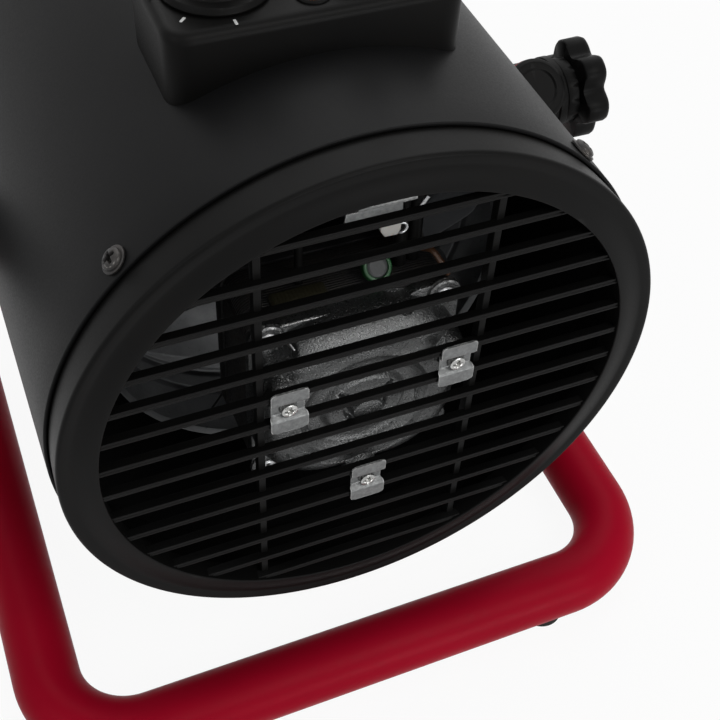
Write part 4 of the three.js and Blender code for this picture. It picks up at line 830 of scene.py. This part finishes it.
def build_duct():
    throat = [(THROAT - throat_bead(64 + 0.5 * k), 64 + 0.5 * k) for k in range(60)]
    outer_throat = [(radius + DUCT_SHEET, depth) for radius, depth in throat]
    wide, narrow = DUCT + DUCT_SHEET, THROAT + DUCT_SHEET
    outline = filleted([
        (73.3, 60.5, 0.3), (narrow, 62.4, 0.8), *outer_throat, (narrow, 94.6, 2), (wide, 108.6, 5),
        (wide, DUCT_END, 0.2), (DUCT, DUCT_END, 0.2), (DUCT, 108.9, 5), (THROAT, 94.9, 2), *throat[::-1],
        (THROAT, 61.8, 0.8), (72.8, 60.0, 0.2),
    ], 8)
    put("duct_sheet", *turned(divided(outline, 10), FAN, 192), "duct_sheet", "drum", ["air_duct"])
    brackets = [duct_bracket(angle, depth) for depth in (116, 200) for angle in (45, 135, 225, 315)]
    put("duct_brackets", *gathered(brackets), "duct_sheet", "drum", ["air_duct"])


def throat_bead(depth):
    """How far the throat's two stiffening beads are pressed inwards at a depth."""
    return sum(0.8 * (1 - step_between(abs(depth - centre), 0.3, 1.7)) for centre in THROAT_BEADS)


def duct_bracket(angle, depth):
    """A bent strap from the duct's wall to the shell."""
    t = radians(angle)
    drop = DRUM_Z - FAN_Z
    half_width = 15
    shell = drop * sin(t) + sqrt((SHELL_INNER - 0.6) ** 2 - (drop * cos(t)) ** 2)
    outer = sqrt(shell ** 2 - half_width ** 2) - 0.6
    line = filleted([(-10, 80.9), (0, 80.9, 1.2), (0, outer, 1.2), (10, outer)], 5, closed=False)
    verts = []
    for k, (along, reach) in enumerate(line):
        n = normal_at(line, k) * 0.55
        for side, half in ((1, -half_width), (1, half_width), (-1, half_width), (-1, -half_width)):
            a, b = along + n.x * side, reach + n.y * side
            verts.append(FAN(b * cos(t) - half * sin(t), b * sin(t) + half * cos(t), depth + a))
    return lofted(verts, 4)


def element_path(radius):
    """A ring of tube open at the top, whose ends bend towards the fan."""
    half = (ELEMENT_GAP + ELEMENT_BEND) / radius
    start, end = pi / 2 + half, pi * 2.5 - half
    def on_ring(angle):
        return radius * cos(angle), radius * sin(angle)
    def leg(angle, sign):
        tangent = Vector((-sin(angle), cos(angle))) * sign
        points = []
        for k in range(9):
            t = pi / 2 * k / 8
            p = Vector(on_ring(angle)) + tangent * (ELEMENT_BEND * sin(t))
            points.append((p.x, p.y, ELEMENT_DEPTH - ELEMENT_BEND * (1 - cos(t))))
        return points + [(p.x, p.y, ELEMENT_DEPTH - drop) for drop in (24, 40)]
    ring = [(*on_ring(start + (end - start) * k / 90), ELEMENT_DEPTH) for k in range(91)]
    return [FAN(*p) for p in leg(start, -1)[::-1] + ring[1:-1] + leg(end, 1)]


def build_elements():
    for k, radius in enumerate(ELEMENT_RADII):
        path = element_path(radius)
        pins = [swept([end, Vector(end) + Vector((0, 9, 0))], circle(1.6, 20)) for end in (path[0], path[-1])]
        parts = [swept(path, circle(ELEMENT_TUBE, 24), up=(0, 1, 0)), *pins]
        put(f"element_{k + 1}_tube", *gathered(parts), "element_sheath", "drum", [f"heating_element_{k + 1}"])


# Stand


def build_stand():
    rise = Vector(PIVOT_RISE).normalized()
    def top(side):
        return (side * TUBE_X, PIVOT_Y + rise.y * TUBE_TOP_REACH, DRUM_Z + rise.z * TUBE_TOP_REACH)
    bends = [(1, TUBE_FRONT_Y), (1, TUBE_REAR_Y), (-1, TUBE_REAR_Y), (-1, TUBE_FRONT_Y)]
    corners = [top(1), *((a * TUBE_X, y, TUBE_Z) for a, y in bends), top(-1)]
    path = bent(corners, TUBE_BEND, 20, 10)
    put("stand_pipe", *swept(path, circle(TUBE_RADIUS, 64)), "red_paint", "stand", ["stand_tube"])
    for side, name in ((1, "left"), (-1, "right")):
        end = placed(top(side), rise, (1, 0, 0))
        cap = [(0, 0.1), (11.9, 0.1, 0.2), (12.3, 0.4, 0.3), (12.3, 2.2, 1.1), (10.6, 3.3, 1.5),
               (8.2, 3.3, 0.5), (7.4, 2.7, 0.5), (0, 2.7)]
        put_turned(f"cap_{name}_plug", cap, end, 72, "black_plastic", "stand", [f"tube_cap_{name}"], 6)
        build_pivot(side, name)
        build_feet(side, name)


def build_pivot(side, name):
    out = placed((0, PIVOT_Y, DRUM_Z), (side, 0, 0))
    block = [(4.6, 102.5), (13.6, 102.5, 0.5), (15, 103.6, 1.0), (15, 106.6, 0.4), (14.3, 107.1, 0.3),
             (14.3, 128.7, 0.3), (15, 129.2, 0.4), (15, 132.4, 1.0), (13.6, 133.3, 0.5), (4.6, 133.3)]
    put_turned(f"pivot_{name}_block", block, out, 96, "black_plastic", "stand", [f"pivot_block_{name}"])
    boss = [(4.6, 96.9), (16, 96.9), (16, 101.0, 0.9), (14.4, 102.2, 0.8), (4.6, 102.2, 0.3)]
    put_turned(f"pivot_{name}_boss", boss, out, 96, "black_plastic", "drum", [f"pivot_boss_{name}"])
    # Along the axis, radius at the lobes' tips and how far the lobes stand out
    levels = [(133.6, 13.0, 0), (133.9, 13.3, 0), (138.4, 13.3, 0), (138.6, 13.6, 0.25), (139.1, 19.2, 0.85),
              (139.9, 20.0, 1), (147.2, 20.1, 1), (148.6, 19.5, 1), (149.3, 18.3, 0.95), (149.55, 16.6, 0.85),
              (149.3, 14.0, 0.4), (148.4, 12.2, 0.1), (147.6, 10.4, 0), (147.4, 7.4, 0), (147.9, 6.6, 0),
              (148.2, 5.6, 0), (148.2, 0, 0)]
    verts = []
    sides, lobes = 120, 6
    for along, reach, lobe in levels:
        for k in range(sides):
            angle = tau * k / sides
            r = reach - lobe * 4.6 * (0.5 - 0.5 * cos(lobes * angle)) ** 1.6
            verts.append(out(r * cos(angle), r * sin(angle), along))
    faces = [*ring_faces(len(levels), sides), tuple(range(sides))]
    body, node = f"{name}_clamp", f"clamp_knob_{name}"
    put(f"clamp_{name}_grip", verts, faces, "black_plastic", body, [node], sharp=46)


def build_feet(side, name):
    pad = [(0, 0), (8.4, 0, 0.5), (9, 0.8, 0.5), (8.8, 4.2, 0.5), (8.2, 5.8, 0.6), (0, 5.8)]
    for row, (x, y) in FOOT_PLACES.items():
        node = f"foot_{row}_{name}"
        put_turned(f"{node}_pad", pad, upright(side * x, y, 0), 64, "rubber", "stand", [node])


# Controls and handle


def build_controls():
    outline = rounded_box(44, 21, 8, 8)
    normals = outline_normals(outline)
    # How far below the top, and how far inside the outline; the last row follows the drum
    levels = [(0.0, 3.0), (0.25, 1.9), (0.9, 0.9), (1.9, 0.25), (3.2, 0.0), (None, 0.0)]
    verts = []
    for drop, inset in levels:
        for (a, b), n in zip(outline, normals):
            x, y = a - n.x * inset, b - n.y * inset
            z = DRUM_Z + sqrt(DRUM_RADIUS ** 2 - x ** 2) - 0.7 if drop is None else HOUSING_TOP - drop
            verts.append((x, at(HOUSING_DEPTH) + y, z))
    count = len(outline)
    faces = [*ring_faces(len(levels), count), tuple(range(count))]
    put("control_cover", verts, faces, "black_plastic", "drum", ["control_housing"])
    for body, (node, x) in DIALS.items():
        build_dial(body, node, x)
    lamp = upright(0, at(LAMP_DEPTH), HOUSING_TOP)
    lens = [(0, -1), (3.6, -1), (3.6, 0.4, 0.3), (3.3, 1.9, 1.0), (0, 2.5)]
    put_turned("lamp_lens", lens, lamp, 48, "amber_lens", "drum", ["pilot_lamp"], 6)
    collar = [(3.7, -0.6), (5.2, -0.6), (5.2, 0.5, 0.3), (4.6, 0.9, 0.3), (3.7, 0.7, 0.2)]
    put_turned("lamp_collar", collar, lamp, 48, "black_plastic", "drum", steps=4)


def build_dial(body, node, x):
    """A fluted knob with a pointer bar, on a ring of marks."""
    place = upright(x, DIAL_Y, HOUSING_TOP)
    def fluted(angle, radius):
        if radius < 11.2 or radius > 12.6:
            return radius
        return radius - 0.35 * (0.5 - 0.5 * cos(28 * angle))
    profile = [(0, 0.3), (15.6, 0.3, 0.3), (16, 1.0, 0.5), (15.2, 2.6, 0.8), (12.8, 3.2, 0.8),
               (12.3, 4.0, 0.3), (11.6, 12.6, 0.4), (11.0, 13.6, 0.9), (8.6, 14.0, 0.6), (7.8, 13.5, 0.6),
               (0, 13.4)]
    grip = turned(filleted(profile), place, 224, round_of=fluted)
    put(f"{node}_grip", *gathered([grip, pointer_bar(place)]), "black_plastic", body, [node])
    line = filleted([(-0.55, 5.5, 0.3), (0.55, 5.5, 0.3), (0.55, 11.2, 0.3), (-0.55, 11.2, 0.3)], 3)
    put(f"{node}_line", *prism(line, place, 15.7, 16.27, 0.08), "dial_mark", body)
    marks = []
    span, count = DIAL_SWEEPS[body]
    for k in range(count):
        angle = radians(90 - span * k / (count - 1))
        reach = 18.2
        length, width = (2.4, 0.8) if body == "mode_dial" else (1.2 + 0.16 * k, 0.45 + 0.06 * k)
        tick = placed((x + reach * cos(angle), DIAL_Y + reach * sin(angle), HOUSING_TOP), (0, 0, 1),
                      (cos(angle), sin(angle), 0))
        marks.append(prism(rounded_box(width / 2, length / 2, 0.2, 2), tick, -0.1, 0.12, 0.05))
    put(f"{node}_marks", *gathered(marks), "dial_mark", "drum")


def pointer_bar(place):
    """The raised bar across a knob."""
    outline = filleted([(-2, -11.6, 1.6), (2, -11.6, 1.6), (2, 12.2, 1.6), (-2, 12.2, 1.6)], 5)
    return prism(outline, place, 12.4, 16.2, 0.8, 4)


def build_handle():
    rear, front = at(HANDLE_REAR), at(HANDLE_FRONT)
    base = DRUM_RADIUS - 1.0
    outline = filleted([
        (rear, base), (rear - 6, HANDLE_TOP, 15), (front + 6, HANDLE_TOP, 15), (front, base),
        (front + 15, base), (front + 21, HANDLE_UNDER, 9.5), (rear - 21, HANDLE_UNDER, 9.5),
        (rear - 15, base),
    ], 12)
    def side(a, b, w):
        return w, a, DRUM_Z + b
    arch = prism(outline, side, -11, 11, 3.4, 6)
    put("handle_arch", *arch, "black_plastic", "drum", ["carry_handle"], sharp=50)
    ribs = []
    for k in range(11):
        y = (rear + front) / 2 + (k - 5) * 5.0
        place = placed((0, y, DRUM_Z + HANDLE_UNDER + 0.05), (0, 0, -1), (0, 1, 0))
        ribs.append(prism(rounded_box(7.2, 0.9, 0.8, 4), place, -0.6, 0.5, 0.4))
    put("handle_ribs", *gathered(ribs), "black_plastic", "drum")


def build_gland():
    t = radians(GLAND_ANGLE)
    origin = (DRUM_RADIUS * cos(t), at(GLAND_DEPTH), DRUM_Z + DRUM_RADIUS * sin(t))
    place = placed(origin, (cos(t), 0, sin(t)), (0, 1, 0))
    nut = prism(filleted([(a, b, 1.0) for a, b in circle(9.6, 6)], 4), place, -0.3, 5.2, 0.6)
    cap = [(4.1, 5.0), (8.6, 5.0), (8.6, 8.6, 0.6), (7.6, 11.2, 1.2), (5.6, 12.9, 0.8), (4.1, 12.9, 0.4)]
    def grooved(angle, radius):
        return radius - (0.45 * (0.5 - 0.5 * cos(16 * angle)) if radius > 8 else 0)
    dome = turned(filleted(cap), place, 128, round_of=grooved)
    put("gland_body", *gathered([nut, dome]), "black_plastic", "drum", ["cable_gland"])
    seal = [(0, 8), (4.2, 8), (4.2, 12.2, 0.4), (0, 11.6)]
    put_turned("gland_seal", seal, place, 48, "seal_rubber", "drum", steps=4)


# Wires and small pieces at the top inside


def build_wires():
    """Both leads in black sleeves, a loop of bare brown wire and the earth ring on the motor."""
    y = at(LEAD_DEPTH)
    brown = bent([(-24.5, y, LEAD_FOOT), (-24.5, y, 210.8), (-14.4, at(29.2), 210.8)], 8)
    put("lead_brown", *swept(brown, circle(1.3, 18)), "brown_wire", "drum", ["motor_lead"])
    foot = LEAD_FOOT - 0.6
    short = bent([(-19.3, at(31), foot), (-19.3, at(31), 207), (-12.8, at(29), 209)], 4)
    long = [(-24.5, y, z) for z in (foot, 190, 205)]
    sleeves = gathered([swept(long, circle(2.5, 28)), swept(short, circle(2.2, 28))])
    put("lead_sleeves", *sleeves, "black_plastic", "drum")
    earth = bent([(13.5, y, LEAD_FOOT), (13.5, y, 207.8), (0.4, at(24.8), 207.8)], 8)
    put("earth_sleeve", *swept(earth, circle(1.35, 18)), "black_plastic", "drum", ["earth_lead"])
    loop = bent([(-24.5, at(30.6), 182), (-27.0, at(24), 186), (-29.9, at(17.5), 181.4),
                 (-31.2, at(20.5), 177.6), (-31.6, at(25), 176.2)], 2.5)
    put("lead_loop", *swept(loop, circle(0.95, 16)), "brown_wire", "drum")
    build_earth_ring()
    tape = filleted([(-9, -3, 1.2), (9, -3, 1.2), (9, 3, 1.2), (-9, 3, 1.2)], 4)
    put("coil_tape", *prism(tape, upright(15.5, at(27), 176.0), 0, 2.4, 0.8), "coil_tape", "drum")


def build_earth_ring():
    """A pale ring terminal with a green rim, on a short post on top of the stator."""
    place = placed((-9.9, at(27), 181.4), (-0.05, 0.72, 0.69))
    rim = [(3.5, -1.6), (4.8, -1.6, 0.5), (4.8, 1.4, 0.9), (3.5, 1.5, 0.4)]
    put_turned("earth_rim", rim, place, 56, "green_wire", "drum")
    disc = filleted([(0, -1.2), (3.7, -1.2), (3.7, 0.7, 0.3), (2.6, 1.3, 0.5), (0, 1.5)], 5)
    post = swept([(-9.9, at(28.2), 175.9), (-9.9, at(27.6), 179.5)], circle(1.5, 20))
    put("earth_disc", *gathered([turned(disc, place, 56), post]), "earth_pale", "drum")


def build_terminal():
    """The terminal block under the bracket's tongue, with its bright lip, connector, curl and pin."""
    parts = [prism(rounded_box(6.5, 11, 0.8, 4), upright(-7, at(29), 0), 211.3, 215.5, 0.4)]
    for k in range(4):
        foot = upright(-7, at(20.7 + 5.55 * k), 0)
        parts.append(prism(rounded_box(6.5, 2.2, 0.6, 4), foot, 205.5, 211.6, 0.3))
    put("terminal_base", *gathered(parts), "black_plastic", "drum", ["terminal_block"])
    rear = placed((0, at(16.9), 0), (0, 1, 0))
    lip = filleted([(-5.6, 215.9), (-6.2, 210.6, 0.8), (12.0, 209.9, 0.8), (11.6, 215.9)], 4)
    put("terminal_lip", *prism(lip, rear, 0, 0.8, 0.25), "zinc_sheet", "drum")
    plug = [(6.4, 205.8), (6.6, 203.6, 0.4), (8.0, 201.2, 0.8), (12.2, 201.0, 0.8), (13.0, 203.4, 0.4),
            (13.0, 205.8)]
    inside = placed((0, at(25), 0), (0, 1, 0))
    put("terminal_plug", *prism(filleted(plug, 4), inside, 0, 6.2, 0.3), "white_nylon", "drum")
    curl = [(-12.4 - 1.6 * (1 - cos(t)), at(19.4 + 0.25 * t), 202.2 - 1.5 * sin(t))
            for t in (k * tau / 20 for k in range(26))]
    pin = bent([(-11.4, at(16.5), 212.4), (-15.4, at(16.4), 210.9), (-17.0, at(16.2), 212.4),
                (-19.4, at(16.2), 216.0)], 1.0)
    pins = gathered([swept(curl, circle(0.5, 14)), swept(pin, circle(0.75, 16))])
    put("terminal_pins", *pins, "steel", "drum")


# CAD nodes that stay
SHARP_EDGE = radians(35)


def smooth_group():
    """Geometry nodes that shade a mesh smooth and keep its edges above the sharp angle sharp."""
    group = bpy.data.node_groups.new("smooth_by_angle", "GeometryNodeTree")
    for side in ("INPUT", "OUTPUT"):
        group.interface.new_socket("Geometry", in_out=side, socket_type="NodeSocketGeometry")
    start = made(group, "NodeGroupInput")["Geometry"]
    angle = made(group, "GeometryNodeInputMeshEdgeAngle")["Unsigned Angle"]
    inputs = {"A": angle, "B": SHARP_EDGE}
    above = made(group, "FunctionNodeCompare", inputs, operation="GREATER_THAN")["Result"]
    whole = made(group, "GeometryNodeSetShadeSmooth", {"Geometry": start})["Geometry"]
    inputs = {"Geometry": whole, "Selection": above, "Shade Smooth": False}
    edges = made(group, "GeometryNodeSetShadeSmooth", inputs, domain="EDGE")["Geometry"]
    made(group, "NodeGroupOutput", {"Geometry": edges})
    return group


KEPT = {
    "handle_screw_rear": "steel", "handle_screw_front": "steel", "pivot_nut_left": "steel",
    "pivot_nut_right": "steel", "clamp_bolt_left": "steel", "clamp_bolt_right": "steel",
    "control_bracket": "zinc_sheet", "mode_switch": "black_plastic", "thermostat": "black_plastic",
    "motor_stator": "laminations", "motor_front_bell": "cast_black", "motor_rotor": "steel",
    "element_plate": "zinc_sheet", "element_spider": "zinc_sheet", "thermal_cutout": "steel",
}


def dress_kept():
    """Gives the CAD nodes that nothing replaces their materials, rounded edges and smooth shading."""
    smooth = smooth_group()
    for name, look in KEPT.items():
        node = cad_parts[name]
        node.data.materials.clear()
        node.data.materials.append(MATERIALS[look])
        weld = node.modifiers.new("weld", "WELD")
        weld.merge_threshold = MERGE
        bevel = node.modifiers.new("edges", "BEVEL")
        bevel.width = 0.25 * MM
        bevel.segments = 2
        bevel.limit_method = "ANGLE"
        bevel.angle_limit = SHARP_EDGE
        shade = node.modifiers.new("smooth", "NODES")
        shade.node_group = smooth


# Stage


def sight(tree):
    """1 for what is seen by eye, in a gloss or through glass, and 0 for what only lights the object."""
    path = made(tree, "ShaderNodeLightPath")
    glossy = combined(tree, "MAXIMUM", path["Is Camera Ray"], path["Is Glossy Ray"])
    return combined(tree, "MAXIMUM", glossy, path["Is Transmission Ray"])


# Name, place in metres, width in metres, power in watts and colour
LAMPS = (
    ("key", (-0.5, 1.2, 1.5), 1.0, 11, (1.0, 0.99, 0.97)),
    ("low", (-0.6, 1.9, 0.16), 0.7, 12, (1.0, 1.0, 1.0)),
    ("top", (-0.35, -1.1, 1.8), 2.6, 27, (1.0, 1.0, 1.0)),
    ("side", (1.3, 0.6, 1.2), 1.4, 5, (0.97, 0.99, 1.0)),
)
AIM = (0, 0, 0.14)
WORLD_LIGHT = {"Color": (0.9, 0.95, 1.0, 1), "Strength": 0.13}
FLOOR_HALF = 3.0
# How much of the floor's look in sight is plain white glow
FLOOR_GLOW = 0.93


def build_stage():
    world = bpy.data.worlds.new("studio")
    bpy.context.scene.world = world
    world.use_nodes = True
    tree = world.node_tree
    tree.nodes.clear()
    light = made(tree, "ShaderNodeBackground", WORLD_LIGHT)[0]
    seen = made(tree, "ShaderNodeBackground", {"Color": (1, 1, 1, 1), "Strength": 1.0})[0]
    choice = made(tree, "ShaderNodeMixShader", {0: sight(tree), 1: light, 2: seen})[0]
    made(tree, "ShaderNodeOutputWorld", {"Surface": choice})
    build_floor()
    for name, place, size, power, colour in LAMPS:
        area = bpy.data.lights.new(name, "AREA")
        area.shape = "DISK"
        area.size = size
        area.energy = power
        area.color = colour
        lamp = bpy.data.objects.new(name, area)
        lamp.location = place
        aim = Vector(AIM) - Vector(place)
        lamp.rotation_euler = aim.to_track_quat("-Z", "Y").to_euler()
        bpy.context.scene.collection.objects.link(lamp)


def build_floor():
    mesh = bpy.data.meshes.new("floor")
    corners = [(a * FLOOR_HALF, b * FLOOR_HALF, 0) for a, b in ((-1, -1), (1, -1), (1, 1), (-1, 1))]
    mesh.from_pydata(corners, [], [(0, 1, 2, 3)])
    floor = bpy.data.objects.new("floor", mesh)
    bpy.context.scene.collection.objects.link(floor)
    material, tree = tree_of("floor_white")
    inputs = {"Base Color": (0.82, 0.82, 0.82, 1), "Roughness": 0.9, "Specular IOR Level": 0.0}
    shader = made(tree, "ShaderNodeBsdfPrincipled", inputs)[0]
    glow = made(tree, "ShaderNodeEmission", {"Strength": 1.0})[0]
    share = combined(tree, "MULTIPLY", sight(tree), FLOOR_GLOW)
    choice = made(tree, "ShaderNodeMixShader", {0: share, 1: shader, 2: glow})[0]
    made(tree, "ShaderNodeOutputMaterial", {"Surface": choice})
    mesh.materials.append(material)


# The camera's lens and sensor in mm, its place in metres, and which way its right, up and back point
LENS, SENSOR = 59.85, 36
CAMERA_PLACE = (0.1044, 0.32445, 0.4358)
CAMERA_RIGHT = (-0.9259, 0.3751, 0.0438)
CAMERA_UP = (-0.2538, -0.7038, 0.6635)
CAMERA_BACK = (0.2797, 0.6032, 0.7469)


def build_camera():
    data = bpy.data.cameras.new("camera")
    data.sensor_width = SENSOR
    data.lens = LENS
    data.clip_start = 0.01
    camera = bpy.data.objects.new("camera", data)
    turn = Matrix((CAMERA_RIGHT, CAMERA_UP, CAMERA_BACK)).transposed().to_4x4()
    camera.matrix_world = Matrix.Translation(CAMERA_PLACE) @ turn
    bpy.context.scene.collection.objects.link(camera)
    bpy.context.scene.camera = camera
    bpy.context.scene.view_settings.view_transform = "Standard"


build_camera()
build_stage()
build_shell()
build_rear_grille()
build_front()
build_shell_screws()
build_motor()
build_fan()
build_duct()
build_elements()
build_stand()
build_controls()
build_handle()
build_gland()
build_wires()
build_terminal()
dress_kept()
